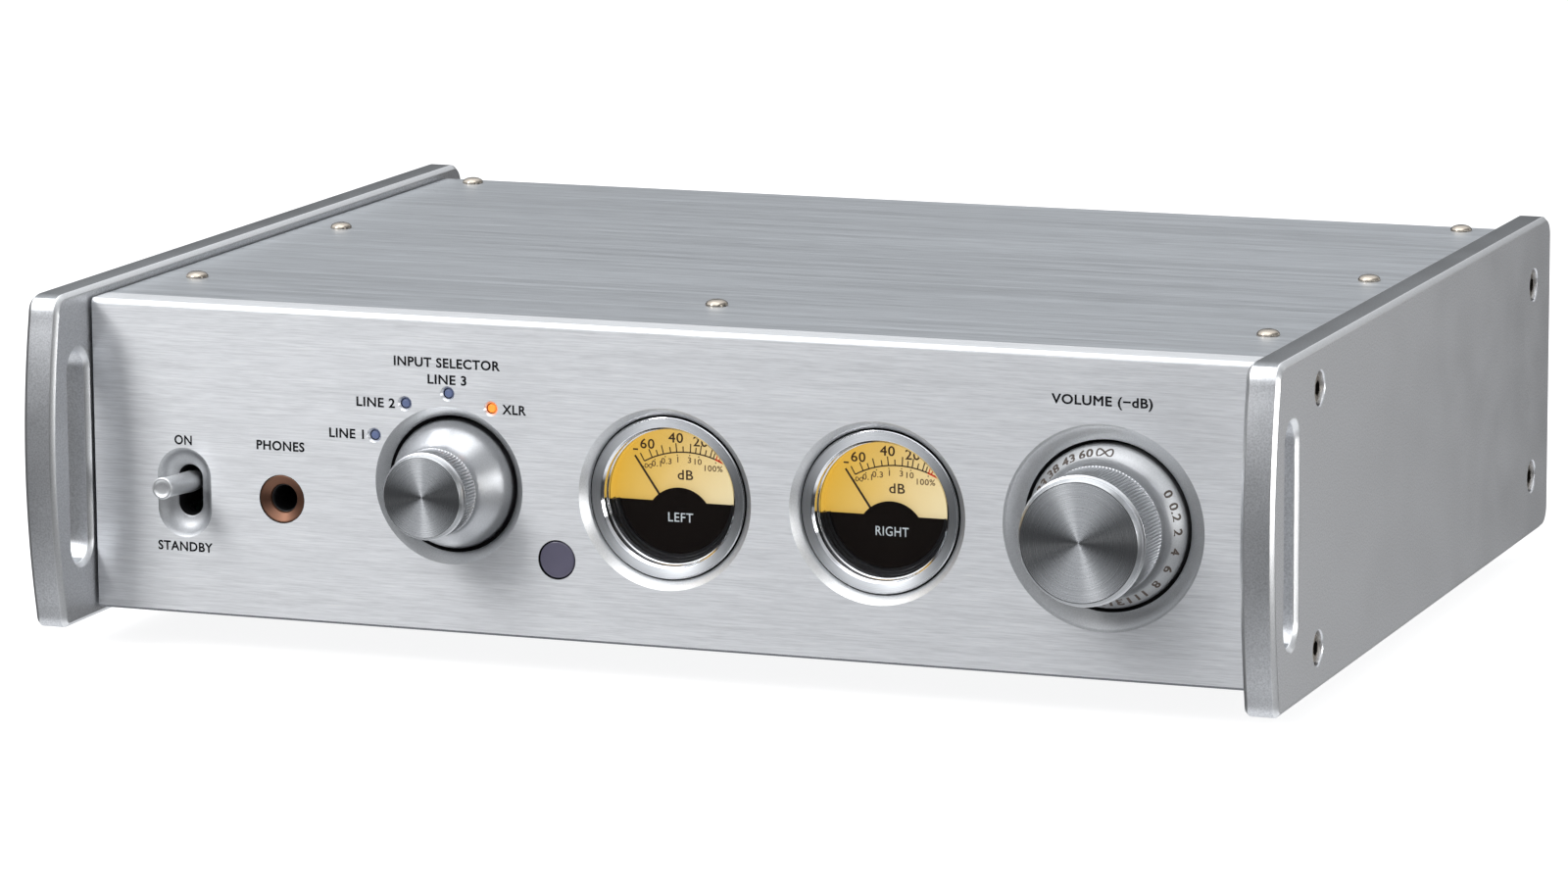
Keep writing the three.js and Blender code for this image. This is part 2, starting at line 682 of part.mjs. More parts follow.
// Built with its pivot at the origin and the pointer straight up, then turned to its rest.
function needle() {
  const [start, end] = NEEDLE.depth;
  const side = [[0.5, -3.5], [0.4, 0], [NEEDLE.half, 4], [NEEDLE.half * 0.7, NEEDLE.reach]];
  const outline = [...side, ...side.map(([x, z]) => [-x, z]).reverse()];
  const pointer = extrudedAlongY(polygon(outline), [start, end]);
  const hub = rod(1.6, [start - 0.1, end + 0.1]);
  const axle = rod(1, [end, COIL.depth[0] + 1]);
  const coil = rod(COIL.radius, COIL.depth, [0, 0], 14);
  return join(pointer, hub, axle, coil).rotate([0, NEEDLE.rest, 0]);
}

const glass = rod(GLASS.radius, GLASS.depth, [0, 0], FINE);
const bezel = turned(bezelProfile, [0, 0], FINE);

for (const [side, x] of Object.entries(METERS)) {
  place(front, `meter_${side}_movement`, movement(), MATERIAL.dial, [x, 0, 0]);
  place(front, `meter_${side}_bezel`, bezel, MATERIAL.chrome, [x, 0, 0]);
  place(front, `meter_${side}_glass`, glass, MATERIAL.glass, [x, 0, 0]);
  place(front, `meter_${side}_needle`, needle(), MATERIAL.pointer, [x, 0, NEEDLE.pivot]);
}

// ---------------------------------------------------------------- rear panel and its sockets

const REAR_FACE = CHASSIS.rear;
const REAR_SHEET = 2;
const REAR_HALF = CHASSIS.half - CHASSIS.wall - GAP;
const REAR_HEIGHTS = [CHASSIS.bottom + CHASSIS.sheet + GAP, CHASSIS.lipHeight - GAP];
const SOCKET_HEIGHT = 37;

// Rear pieces are placed from the rear panel's outer face: y outwards, z above the sockets' line.
const rear = new THREE.Group();
rear.position.set(0, FACE_Y + REAR_FACE, SIDE_BASE + SOCKET_HEIGHT);
amplifier.add(rear);

const CUT_THROUGH = [-REAR_SHEET - 2, 2];
const REAR_BOSS_DEPTH = 14;
const INLET = {
  x: 101,
  flange: [31, 24],
  body: [27, 19.4],
  cavity: [24.2, 16.3],
  hole: [28, 20.4],
  depth: 18,
  mouth: 13.4,
  pins: [[-7, -2], [7, -2], [0, 2]],
};
const PHONO = {
  columns: [-52, -36, -20],
  rows: [-9, 9],
  shell: 4.15,
  hole: 5,
  flange: 6.2,
  length: 10.4,
  margin: [8, 9],
  depth: 16,
};
const BALANCED = { left: -80, right: -110 };
const XLR = {
  barrel: 11.6,
  hole: 12,
  flange: [26, 31],
  groove: 9.6,
  insert: 7.7,
  depth: 15,
  pins: [[-3.6, 1.8], [0, -3.4], [3.6, 1.8]],
};
const POSTS = { left_positive: 8, left_negative: 27.05, right_positive: 48, right_negative: 67.05 };
const POST = { stud: 3, hole: 5, collar: 8.6, length: 39.5, wire: 9.6 };

function rearPanel() {
  const z = REAR_HEIGHTS.map((height) => height - SOCKET_HEIGHT);
  const plate = block([-REAR_HALF, REAR_HALF], [-REAR_SHEET, 0], z);
  const upperHeights = [z[1] - 1, CHASSIS.top - SOCKET_HEIGHT];
  const upper = block([GAP - CHASSIS.lip, CHASSIS.lip - GAP], [-REAR_SHEET, 0], upperHeights);
  const bosses = [-1, 1].map((side) =>
    block(span(side * REAR_HALF, side * BOSS.x[0]), [-REAR_BOSS_DEPTH, -REAR_SHEET + 0.5], z),
  );
  const bolts = [SIDE_BOLTS.rear_lower, SIDE_BOLTS.rear_upper].flatMap(([y, height]) =>
    [-1, 1].map((side) => rodAcross(BOLT.hole, bossDrill(side), [y - REAR_FACE, height - SOCKET_HEIGHT])),
  );
  const phono = phonoPlaces().map((place) => rod(PHONO.hole, CUT_THROUGH, place, 12));
  const balanced = Object.values(BALANCED).map((x) => rod(XLR.hole, CUT_THROUGH, [x, 0], MEDIUM));
  const posts = Object.values(POSTS).map((x) => rod(POST.hole, CUT_THROUGH, [x, 0]));
  const inlet = block(centred(INLET.hole[0]), CUT_THROUGH, centred(INLET.hole[1])).translate([INLET.x, 0, 0]);
  return cut(join(plate, upper, ...bosses), ...bolts, ...phono, ...balanced, ...posts, inlet);
}

function mainsInlet() {
  const flange = block(centred(INLET.flange[0]), [GAP, 2.6], centred(INLET.flange[1]));
  const body = block(centred(INLET.body[0]), [-INLET.depth, 1], centred(INLET.body[1]));
  const cavity = block(centred(INLET.cavity[0]), [-INLET.mouth, 4], centred(INLET.cavity[1]));
  const pinDepths = [-INLET.mouth - 1.6, -3.5];
  const pins = INLET.pins.map(([x, z]) => block([x - 1, x + 1], pinDepths, [z - 2, z + 2]));
  return join(cut(join(flange, body), cavity), ...pins);
}

const phonoPlaces = () => PHONO.columns.flatMap((x) => PHONO.rows.map((z) => [x, z]));

function phonoBlock() {
  const { columns, rows, shell, flange, length, margin, depth } = PHONO;
  const housing = block(
    [columns[0] - margin[0], columns.at(-1) + margin[0]],
    [-depth, -REAR_SHEET - GAP],
    [rows[0] - margin[1], rows.at(-1) + margin[1]],
  );
  const socket = [
    [0, -3],
    [shell, -3],
    [shell, GAP],
    [flange, GAP],
    [flange, 1.6],
    [shell, 1.6],
    [shell, length],
    [0, length],
  ];
  const shells = phonoPlaces().map((place) => turned(socket, place, 12));
  const holes = phonoPlaces().map((place) => rod(1.7, [1, length + 1], place, 8));
  return cut(join(housing, ...shells), ...holes);
}

function balancedInput() {
  const flange = block(centred(XLR.flange[0]), [GAP, 2.3], centred(XLR.flange[1]));
  const barrel = rod(XLR.barrel, [-XLR.depth - 7, 2], [0, 0], 16);
  const ring = [
    [XLR.insert, -XLR.depth],
    [XLR.groove, -XLR.depth],
    [XLR.groove, 4],
    [XLR.insert, 4],
    [XLR.insert, -XLR.depth],
  ];
  const groove = turned(ring, [0, 0], 12);
  const pins = XLR.pins.map((place) => rod(1.3, [-10, 4], place, 6));
  return cut(join(flange, barrel), groove, ...pins);
}

function speakerTerminals() {
  const xs = Object.values(POSTS);
  const base = block([xs[0] - 12, xs.at(-1) + 12], [GAP, 4], [-13, 13]);
  const collars = xs.map((x) => rod(POST.collar, [3, 6], [x, 0], 16));
  const studs = xs.map((x) => rod(POST.stud, [-12, POST.length], [x, 0]));
  const wireHoles = xs.map((x) => rodUp(1.5, [-5, 5], [x, POST.wire], 8));
  const plugHoles = xs.map((x) => rod(2.1, [18, POST.length + 1.5], [x, 0], 8));
  return cut(join(base, ...collars, ...studs), ...wireHoles, ...plugHoles);
}

// The screw cap turns on the stud: a blind bore with a plug hole through its end.
function speakerCap() {
  const end = DEPTH / 2 - (FACE_Y + REAR_FACE);
  const bore = POST.stud + GAP;
  const bottom = POST.length + 0.7;
  return turned([
    [bore, 14],
    [7.8, 14],
    [7.8, 17.5],
    [7.4, 18.5],
    [7.4, end - 1.4],
    [6.2, end],
    [2.2, end],
    [2.2, bottom],
    [bore, bottom],
    [bore, 14],
  ]);
}

place(rear, "rear_panel", rearPanel(), MATERIAL.black);
place(rear, "mains_inlet", mainsInlet(), MATERIAL.blackPlastic, [INLET.x, 0, 0]);
place(rear, "line_input_block", phonoBlock(), MATERIAL.gold);
for (const [side, x] of Object.entries(BALANCED)) {
  place(rear, `balanced_input_${side}`, balancedInput(), MATERIAL.blackPlastic, [x, 0, 0]);
}
place(rear, "speaker_terminals", speakerTerminals(), MATERIAL.gold);
for (const [name, x] of Object.entries(POSTS)) {
  const colour = name.endsWith("positive") ? MATERIAL.redPlastic : MATERIAL.blackPlastic;
  place(rear, `speaker_cap_${name}`, speakerCap(), colour, [x, 0, 0]);
}

// ---------------------------------------------------------------- inside the case

const FLOOR = CHASSIS.bottom + CHASSIS.sheet + GAP; // the lowest an inner piece stands
const TRANSFORMER = { x: 82, y: 122, radius: 38, hole: 12, height: 36 };
const BOARD = { x: [-124, 36], y: [76, 178], height: 12, thickness: 1.6 };
const RESERVOIRS = [[-30, 96], [-4, 96], [-30, 122], [-4, 122]];
const SMALL_CAPACITORS = [[-112, 92], [-112, 108], [-100, 92], [-100, 108], [-88, 92], [-88, 108]];
const RELAYS = [[-70, 159], [-50, 159]];
const MODULES = [[-100, 132], [-64, 132]];
const HEATSINK = { x: [-100, 20], y: 50, base: 4, fin: 16, pitch: 8, finThickness: 2, height: 48 };
const CONTROL_BOARD = {
  x: [-78, 124],
  y: 30,
  thickness: 1.6,
  z: [8, 64],
  chips: [-20, 30, 74],
  plugs: [-60, 104],
};

// A box standing on a board: its middle, its size across and its height.
function boxOn(place, [width, depth], [from, to]) {
  return block(centred(width), centred(depth), [from, to]).translate([...place, 0]);
}

function transformer() {
  const { radius, hole, height } = TRANSFORMER;
  const section = [
    [hole, 4],
    [hole + 4, 0],
    [radius - 5, 0],
    [radius, 5],
    [radius, height - 5],
    [radius - 5, height],
    [hole + 4, height],
    [hole, height - 4],
    [hole, 4],
  ];
  const ring = turnedUp(section, [0, 0], 28);
  const clamp = rodUp(hole + 8, [height - 0.5, height + 2], [0, 0], MEDIUM);
  const bolt = rodUp(3, [0, height + 5]);
  return join(ring, clamp, bolt);
}

function amplifierBoard() {
  const { x, y, height, thickness } = BOARD;
  const sheet = block(x, y, [height, height + thickness]);
  const standoffs = x.flatMap((edge, i) =>
    y.map((side, j) => rodUp(3, [FLOOR, height + 0.5], [edge + (i ? -6 : 6), side + (j ? -6 : 6)], 8)),
  );
  const reservoirs = RESERVOIRS.map((place) => rodUp(11, [height + 1, height + 36], place, 16));
  const small = SMALL_CAPACITORS.map((place) => rodUp(4, [height + 1, height + 14], place, 10));
  const relays = RELAYS.map((place) => boxOn(place, [14, 18], [height + 1, height + 17]));
  const modules = MODULES.map((place) => boxOn(place, [26, 20], [height + 1, height + 9]));
  return join(sheet, ...standoffs, ...reservoirs, ...small, ...relays, ...modules);
}

function heatsink() {
  const { x, y, base, fin, pitch, finThickness, height } = HEATSINK;
  const heights = [FLOOR, FLOOR + height];
  const back = block(x, [y, y + base], heights);
  const count = Math.floor((x[1] - x[0] - finThickness) / pitch) + 1;
  const fins = Array.from({ length: count }, (_, i) => x[0] + i * pitch).map((start) =>
    block([start, start + finThickness], [y + base - 0.5, y + base + fin], heights),
  );
  return join(back, ...fins);
}

function controlBoard() {
  const { x, y, thickness, z } = CONTROL_BOARD;
  const back = y + thickness;
  const sheet = block(x, [y, back], z);
  const chips = CONTROL_BOARD.chips.map((px) => block([px - 9, px + 9], [back - 0.1, back + 2], [20, 38]));
  const plugs = CONTROL_BOARD.plugs.map((px) => block([px - 10, px + 10], [back - 0.1, back + 6], [12, 19]));
  return join(sheet, ...chips, ...plugs);
}

place(shell, "transformer", transformer(), MATERIAL.winding, [TRANSFORMER.x, TRANSFORMER.y, FLOOR]);
place(shell, "amplifier_board", amplifierBoard(), MATERIAL.board);
place(shell, "heatsink", heatsink(), MATERIAL.black);
place(shell, "control_board", controlBoard(), MATERIAL.board);

export default amplifier;
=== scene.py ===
import json
import math

import bmesh
import bpy
from mathutils import Matrix, Vector
from mathutils.geometry import tessellate_polygon

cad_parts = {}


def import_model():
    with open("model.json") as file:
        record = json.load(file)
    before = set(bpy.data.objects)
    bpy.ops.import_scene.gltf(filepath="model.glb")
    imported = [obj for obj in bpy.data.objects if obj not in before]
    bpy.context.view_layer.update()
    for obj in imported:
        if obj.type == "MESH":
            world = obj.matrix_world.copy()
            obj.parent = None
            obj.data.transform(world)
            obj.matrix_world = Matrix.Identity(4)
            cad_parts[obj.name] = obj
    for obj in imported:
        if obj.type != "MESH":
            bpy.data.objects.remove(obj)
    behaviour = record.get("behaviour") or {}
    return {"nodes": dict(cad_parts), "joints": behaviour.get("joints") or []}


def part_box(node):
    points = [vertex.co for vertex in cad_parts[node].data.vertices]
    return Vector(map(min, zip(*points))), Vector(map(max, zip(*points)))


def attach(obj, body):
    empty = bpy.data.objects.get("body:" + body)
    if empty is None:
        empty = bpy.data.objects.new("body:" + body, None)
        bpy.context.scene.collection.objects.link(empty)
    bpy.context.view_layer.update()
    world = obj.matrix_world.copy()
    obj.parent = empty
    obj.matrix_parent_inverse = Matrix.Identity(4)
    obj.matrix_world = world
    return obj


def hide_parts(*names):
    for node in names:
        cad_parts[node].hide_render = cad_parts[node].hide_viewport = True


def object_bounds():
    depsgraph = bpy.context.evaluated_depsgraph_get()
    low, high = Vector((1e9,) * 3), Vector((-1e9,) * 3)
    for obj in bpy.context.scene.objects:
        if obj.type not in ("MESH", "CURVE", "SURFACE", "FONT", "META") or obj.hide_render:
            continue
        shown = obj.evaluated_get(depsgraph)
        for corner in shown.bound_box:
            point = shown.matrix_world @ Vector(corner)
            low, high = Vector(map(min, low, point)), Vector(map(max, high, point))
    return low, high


# A compact stereo amplifier in a silver aluminium case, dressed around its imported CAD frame.
# Shapes are drawn in millimetres in a local frame: x to the right, y into the surface (what stands
# proud has a negative y) and z up. A place and a turn then set them into the row frame, in metres.

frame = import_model()
cad_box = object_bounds()

MM = 0.001
TAU = 2 * math.pi

# ------------------------------------------------------------------ places taken from the frame


def centre_of(node):
    low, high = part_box(node)
    return (low + high) / 2


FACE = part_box("front_panel")[0].y
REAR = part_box("rear_panel")[1].y
CONTROL_LINE = centre_of("volume_knob").z
SOCKET_LINE = centre_of("line_input_block").z
FLOOR_LEVEL = cad_box[0].z
SIDES = ("left", "right")

FRONT = Matrix.Identity(3)
BACK = Matrix.Rotation(math.pi, 3, "Z")
RIGHT = Matrix.Rotation(math.pi / 2, 3, "Z")
LEFT = Matrix.Rotation(-math.pi / 2, 3, "Z")
UPWARD = Matrix.Rotation(-math.pi / 2, 3, "X")
DOWNWARD = Matrix.Rotation(math.pi / 2, 3, "X")


def front_place(node=None):
    """The point of the front panel's face that lies in front of a node's centre."""
    if node is None:
        return Vector((0, FACE, CONTROL_LINE))
    middle = centre_of(node)
    return Vector((middle.x, FACE, middle.z))


# ------------------------------------------------------------------ shapes


class Shape:
    """The points and faces of one piece, with a material number for each face."""

    def __init__(self, place=(0, 0, 0), turn=FRONT):
        self.place = Vector(place)
        self.turn = turn
        self.points = []
        self.faces = []
        self.numbers = []
        self.rounded = []

    def add(self, points):
        start = len(self.points)
        self.points.extend(self.place + self.turn @ (Vector(p) * MM) for p in points)
        return list(range(start, len(self.points)))

    def face(self, corners, number=0, rounded=True):
        self.faces.append(tuple(corners))
        self.numbers.append(number)
        self.rounded.append(rounded)

    def bridge(self, first, second, number=0):
        """Faces between two rings; a ring of one point is the tip of a fan."""
        count = max(len(first), len(second))
        for i in range(count if count > 1 else 0):
            j = (i + 1) % count
            if len(first) == 1:
                self.face((second[i], second[j], first[0]), number)
            elif len(second) == 1:
                self.face((first[i], first[j], second[0]), number)
            else:
                self.face((first[i], first[j], second[j], second[i]), number)

    def chain(self, rings, number=0):
        """Rings joined in turn, with one material number or a list of them."""
        placed = [self.add(ring) for ring in rings]
        numbers = number if isinstance(number, list) else [number] * len(rings)
        for first, second, each in zip(placed, placed[1:], numbers):
            self.bridge(first, second, each)
        return placed

    def fill(self, outer, holes=(), number=0):
        """A flat face between an outer ring and the rings of its holes."""
        loops = [[self.points[i] / MM for i in ring] for ring in (outer, *holes)]
        corners = [i for ring in (outer, *holes) for i in ring]
        for triangle in tessellate_polygon(loops):
            self.face([corners[k] for k in triangle], number, rounded=False)

    def solid(self, rings, number=0):
        """A chain closed with a flat face at each end."""
        placed = self.chain(rings, number)
        self.fill(placed[0], number=number)
        self.fill(placed[-1], number=number)

    def plate(self, edge, holes):
        """The two flat faces of a plate, from the chains of its edge and its holes."""
        self.fill(edge[0], [hole[0] for hole in holes])
        self.fill(edge[-1], [hole[-1] for hole in holes])

    def mesh(self, name):
        mesh = bpy.data.meshes.new(name)
        mesh.from_pydata([tuple(p) for p in self.points], [], self.faces)
        mesh.polygons.foreach_set("material_index", self.numbers)
        mesh.polygons.foreach_set("use_smooth", self.rounded)
        body = bmesh.new()
        body.from_mesh(mesh)
        bmesh.ops.remove_doubles(body, verts=body.verts, dist=1e-7)
        bmesh.ops.recalc_face_normals(body, faces=body.faces)
        body.to_mesh(mesh)
        body.free()
        return mesh


def piece(name, shape, materials, body="case", nodes=(), sharp=32):
    """Puts a shape or mesh into the scene as a piece that rides on a body and stands for CAD nodes."""
    mesh = shape.mesh(name) if isinstance(shape, Shape) else shape
    numbers = [face.material_index for face in mesh.polygons]
    rounded = [face.use_smooth for face in mesh.polygons]
    mesh.materials.clear()
    for material in materials:
        mesh.materials.append(M[material])
    mesh.set_sharp_from_angle(angle=math.radians(sharp))
    mesh.polygons.foreach_set("material_index", numbers)
    mesh.polygons.foreach_set("use_smooth", rounded)
    made = bpy.data.objects.new(name, mesh)
    bpy.context.scene.collection.objects.link(made)
    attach(made, body)
    if nodes:
        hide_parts(*nodes)


def finished(node, shape, materials, body="case", sharp=32):
    """The piece that replaces one node."""
    piece(f"{node}_finished", shape, materials, body, [node], sharp)


def eased(profile, radius, steps=3):
    """A profile with each inner corner rounded, by a third entry in the point or by radius."""
    made = []
    for i, point in enumerate(profile):
        here = Vector(point[:2])
        amount = point[2] if len(point) > 2 else radius
        if i in (0, len(profile) - 1) or amount == 0:
            made.append(tuple(here))
            continue
        before = Vector(profile[i - 1][:2]) - here
        after = Vector(profile[i + 1][:2]) - here
        start = here + before * min(amount / before.length, 0.45)
        end = here + after * min(amount / after.length, 0.45)
        for k in range(steps + 1):
            t = k / steps
            made.append(tuple(start * (1 - t) ** 2 + here * 2 * t * (1 - t) + end * t * t))
    return made


def rectangle(x, z, depth):
    return [(x[0], depth, z[0]), (x[1], depth, z[0]), (x[1], depth, z[1]), (x[0], depth, z[1])]


def circle(radius, depth, centre=(0, 0), count=64):
    angles = [TAU * k / count for k in range(count)]
    return [(centre[0] + radius * math.sin(a), depth, centre[1] + radius * math.cos(a)) for a in angles]


def capsule(radius, span, depth, centre=(0, 0), count=32):
    """A ring of two half circles, span apart from the centre, standing along z."""
    ring = []
    for k in range(2 * count):
        angle = -math.pi / 2 + math.pi * (k % count) / (count - 1) + (math.pi if k >= count else 0)
        side = span if k < count else -span
        x, z = radius * math.sin(angle), radius * math.cos(angle)
        ring.append((centre[0] + x, depth, centre[1] + side + z))
    return ring


def rounded_box(width, height, radius, depth, centre=(0, 0), count=6):
    """A ring in the shape of a rectangle with round corners."""
    ring = []
    corners = [(1, 1), (1, -1), (-1, -1), (-1, 1)]
    for quarter, (sx, sz) in enumerate(corners):
        for k in range(count + 1):
            angle = math.pi / 2 * (quarter + k / count)
            x = sx * (width / 2 - radius) + radius * math.sin(angle)
            z = sz * (height / 2 - radius) + radius * math.cos(angle)
            ring.append((centre[0] + x, depth, centre[1] + z))
    return ring


def lathe(shape, profile, centre=(0, 0), count=64, number=0, ripple=None):
    """Turns a profile of (radius, depth) about the y axis.

    number is a material number, or a function of a strip's two profile points that gives one.
    ripple(radius, depth, angle) may reshape the radius.
    """
    angles = [TAU * k / count for k in range(count)]
    rings = []
    for radius, depth in profile:
        if radius < 1e-6:
            rings.append([(centre[0], depth, centre[1])])
            continue
        sizes = [ripple(radius, depth, a) if ripple else radius for a in angles]
        rings.append([
            (centre[0] + r * math.sin(a), depth, centre[1] + r * math.cos(a)) for r, a in zip(sizes, angles)
        ])
    strips = zip(profile, profile[1:])
    shape.chain(rings, [number(*strip) if callable(number) else number for strip in strips])


def turned(profile, place=(0, 0, 0), turn=FRONT, **options):
    shape = Shape(place, turn)
    lathe(shape, profile, **options)
    return shape


def block(shape, x, y, z, ease=0.3, number=0):
    """A box with eased edges, from its three pairs of limits."""
    centre = ((x[0] + x[1]) / 2, (z[0] + z[1]) / 2)
    size = (x[1] - x[0], z[1] - z[0])
    section = eased([(ease * 2, y[0]), (0, y[0]), (0, y[1]), (ease * 2, y[1])], ease, 2)
    rings = [
        rounded_box(size[0] - 2 * inset, size[1] - 2 * inset, ease, depth, centre, 2)
        for inset, depth in section
    ]
    shape.solid(rings, number)


def carved(mesh, cutter):
    """A nickel mesh with another one cut out of it."""
    body = bpy.data.objects.new("body", mesh)
    tool = bpy.data.objects.new("tool", cutter)
    for each in (body, tool):
        bpy.context.scene.collection.objects.link(each)
        each.data.materials.append(M["nickel"])
        # The faces cut by the tool take the near-black satin, painted shade in the recess.
        each.data.materials.append(M["recess"])
    modifier = body.modifiers.new("cut", "BOOLEAN")
    modifier.operation = "DIFFERENCE"
    modifier.solver = "EXACT"
    modifier.object = tool
    bpy.context.view_layer.update()
    made = bpy.data.meshes.new_from_object(body.evaluated_get(bpy.context.evaluated_depsgraph_get()))
    for each in (body, tool):
        bpy.data.objects.remove(each)
    return made


def set_down(mesh, place, turn):
    """A copy of a mesh drawn at the origin, turned and moved to its place."""
    made = mesh.copy()
    made.transform(Matrix.Translation(place) @ turn.to_4x4())
    return made


# ------------------------------------------------------------------ lettering


def glyphs(text, weight=0.0):
    """The flat triangles of a text, centred; weight makes its strokes thicker."""
    curve = bpy.data.curves.new("text", "FONT")
    curve.body = text
    curve.align_x = "CENTER"
    curve.resolution_u = 4
    curve.space_character = 1.08
    carrier = bpy.data.objects.new("text", curve)
    bpy.context.scene.collection.objects.link(carrier)
    bpy.context.view_layer.update()
    mesh = bpy.data.meshes.new_from_object(carrier.evaluated_get(bpy.context.evaluated_depsgraph_get()))
    bpy.data.objects.remove(carrier)
    points = [tuple(v.co.xy) for v in mesh.vertices]
    faces = [tuple(p.vertices) for p in mesh.polygons]
    return thickened(points, faces, weight), faces


def thickened(points, faces, weight):
    """The points of flat faces with their outline moved outwards by the weight."""
    edges = {edge for face in faces for edge in zip(face, face[1:] + face[:1])}
    sides = {}
    for a, b in edges:
        if (b, a) not in edges:
            along = (Vector(points[b]) - Vector(points[a])).normalized()
            outward = Vector((along.y, -along.x))
            sides.setdefault(a, []).append(outward)
            sides.setdefault(b, []).append(outward)
    moved = list(points)
    for i, (first, second, *rest) in sides.items():
        mitre = weight / max(1 + first.dot(second), 0.4)
        moved[i] = tuple(Vector(points[i]) + (first + second) * mitre)
    return moved


CAPITAL = max(y for x, y in glyphs("H")[0])
INK = 0.03


def ink(shape, points, faces, where, number=0):
    """Raises flat faces into a thin closed layer; where(u, v, rise) gives each point's place."""
    front = shape.add([where(u, v, INK) for u, v in points])
    back = shape.add([where(u, v, -INK) for u, v in points])
    edges = {}
    for face in faces:
        shape.face([front[i] for i in face], number)
        shape.face([back[i] for i in reversed(face)], number)
        for a, b in zip(face, face[1:] + face[:1]):
            edges[(a, b)] = True
    for a, b in edges:
        if (b, a) not in edges:
            shape.face((front[b], front[a], back[a], back[b]), number)


def fitted(text, cap, width=None, weight=0.012):
    """The points of a text scaled to a capital height and, if given, a total width, in millimetres."""
    points, faces = glyphs(text, weight)
    low = min(x for x, y in points)
    high = max(x for x, y in points)
    tall = cap / CAPITAL
    wide = width / (high - low) if width else tall * 1.1
    middle = (low + high) / 2
    return [((x - middle) * wide, y * tall - cap / 2) for x, y in points], faces


def write(shape, text, cap, centre, depth, width=None, number=0, weight=0.012):
    """Lettering printed on a flat face at the given depth."""
    points, faces = fitted(text, cap, width, weight)

    def where(u, v, rise):
        return (centre[0] + u, depth - rise, centre[1] + v)

    ink(shape, points, faces, where, number)


def stroke(points, width, closed=False):
    """A flat ribbon along a line of points."""
    count = len(points)
    edge = []
    for i in range(count):
        before = Vector(points[(i - 1) % count if closed else max(i - 1, 0)])
        after = Vector(points[(i + 1) % count if closed else min(i + 1, count - 1)])
        along = (after - before).normalized()
        across = Vector((-along.y, along.x)) * width / 2
        edge.append(tuple(Vector(points[i]) + across))
        edge.append(tuple(Vector(points[i]) - across))
    last = count if closed else count - 1
    faces = [
        (2 * i, 2 * i + 1, (2 * i + 3) % (2 * count), (2 * i + 2) % (2 * count)) for i in range(last)
    ]
    return edge, faces


def endless(height, width, line):
    """The sign for an endless range, a lying eight, as a flat ribbon."""
    points = []
    for k in range(40):
        angle = TAU * k / 40
        points.append((width / 2 * math.cos(angle), height / 2 * math.sin(2 * angle)))
    return stroke(points, line, closed=True)


# ------------------------------------------------------------------ materials


class Nodes:
    """A node tree, and a short way to add to it."""

    def __init__(self, tree):
        self.tree = tree

    def feed(self, node, inputs):
        """Gives a node's inputs their values, or links to them the sockets that they are given."""
        for key, value in inputs.items():
            if isinstance(value, bpy.types.NodeSocket):
                self.tree.links.new(value, node.inputs[key])
            else:
                node.inputs[key].default_value = value

    def node(self, kind, inputs=None, **settings):
        made = self.tree.nodes.new(f"ShaderNode{kind}")
        for key, value in settings.items():
            setattr(made, key, value)
        self.feed(made, inputs or {})
        return made

    def math(self, operation, first, second):
        return self.node("Math", {0: first, 1: second}, operation=operation).outputs[0]

    def vector(self, operation, first, second=(0, 0, 0)):
        return self.node("VectorMath", {0: first, 1: second}, operation=operation).outputs

    def scaled(self, vector, amount):
        return self.node("VectorMath", {0: vector, "Scale": amount}, operation="SCALE").outputs[0]

    def between(self, factor, low, high, start=0.3, end=0.7, kind="LINEAR"):
        """A factor's range from start to end, spread from low to high."""
        limits = {"Value": factor, "From Min": start, "From Max": end, "To Min": low, "To Max": high}
        return self.node("MapRange", limits, interpolation_type=kind).outputs["Result"]

    def mixed(self, factor, first, second):
        values = {"Factor": factor, "A": first, "B": second}
        return self.node("Mix", values, data_type="RGBA").outputs["Result"]

    def ramp(self, factor, stops):
        """Colours along a factor, from stops of (position, colour)."""
        made = self.node("ValToRGB", {"Fac": factor})
        elements = made.color_ramp.elements
        while len(elements) < len(stops):
            elements.new(0.5)
        for element, (position, tone) in zip(elements, stops):
            element.position = position
            element.color = (*tone, 1)
        return made.outputs["Color"]


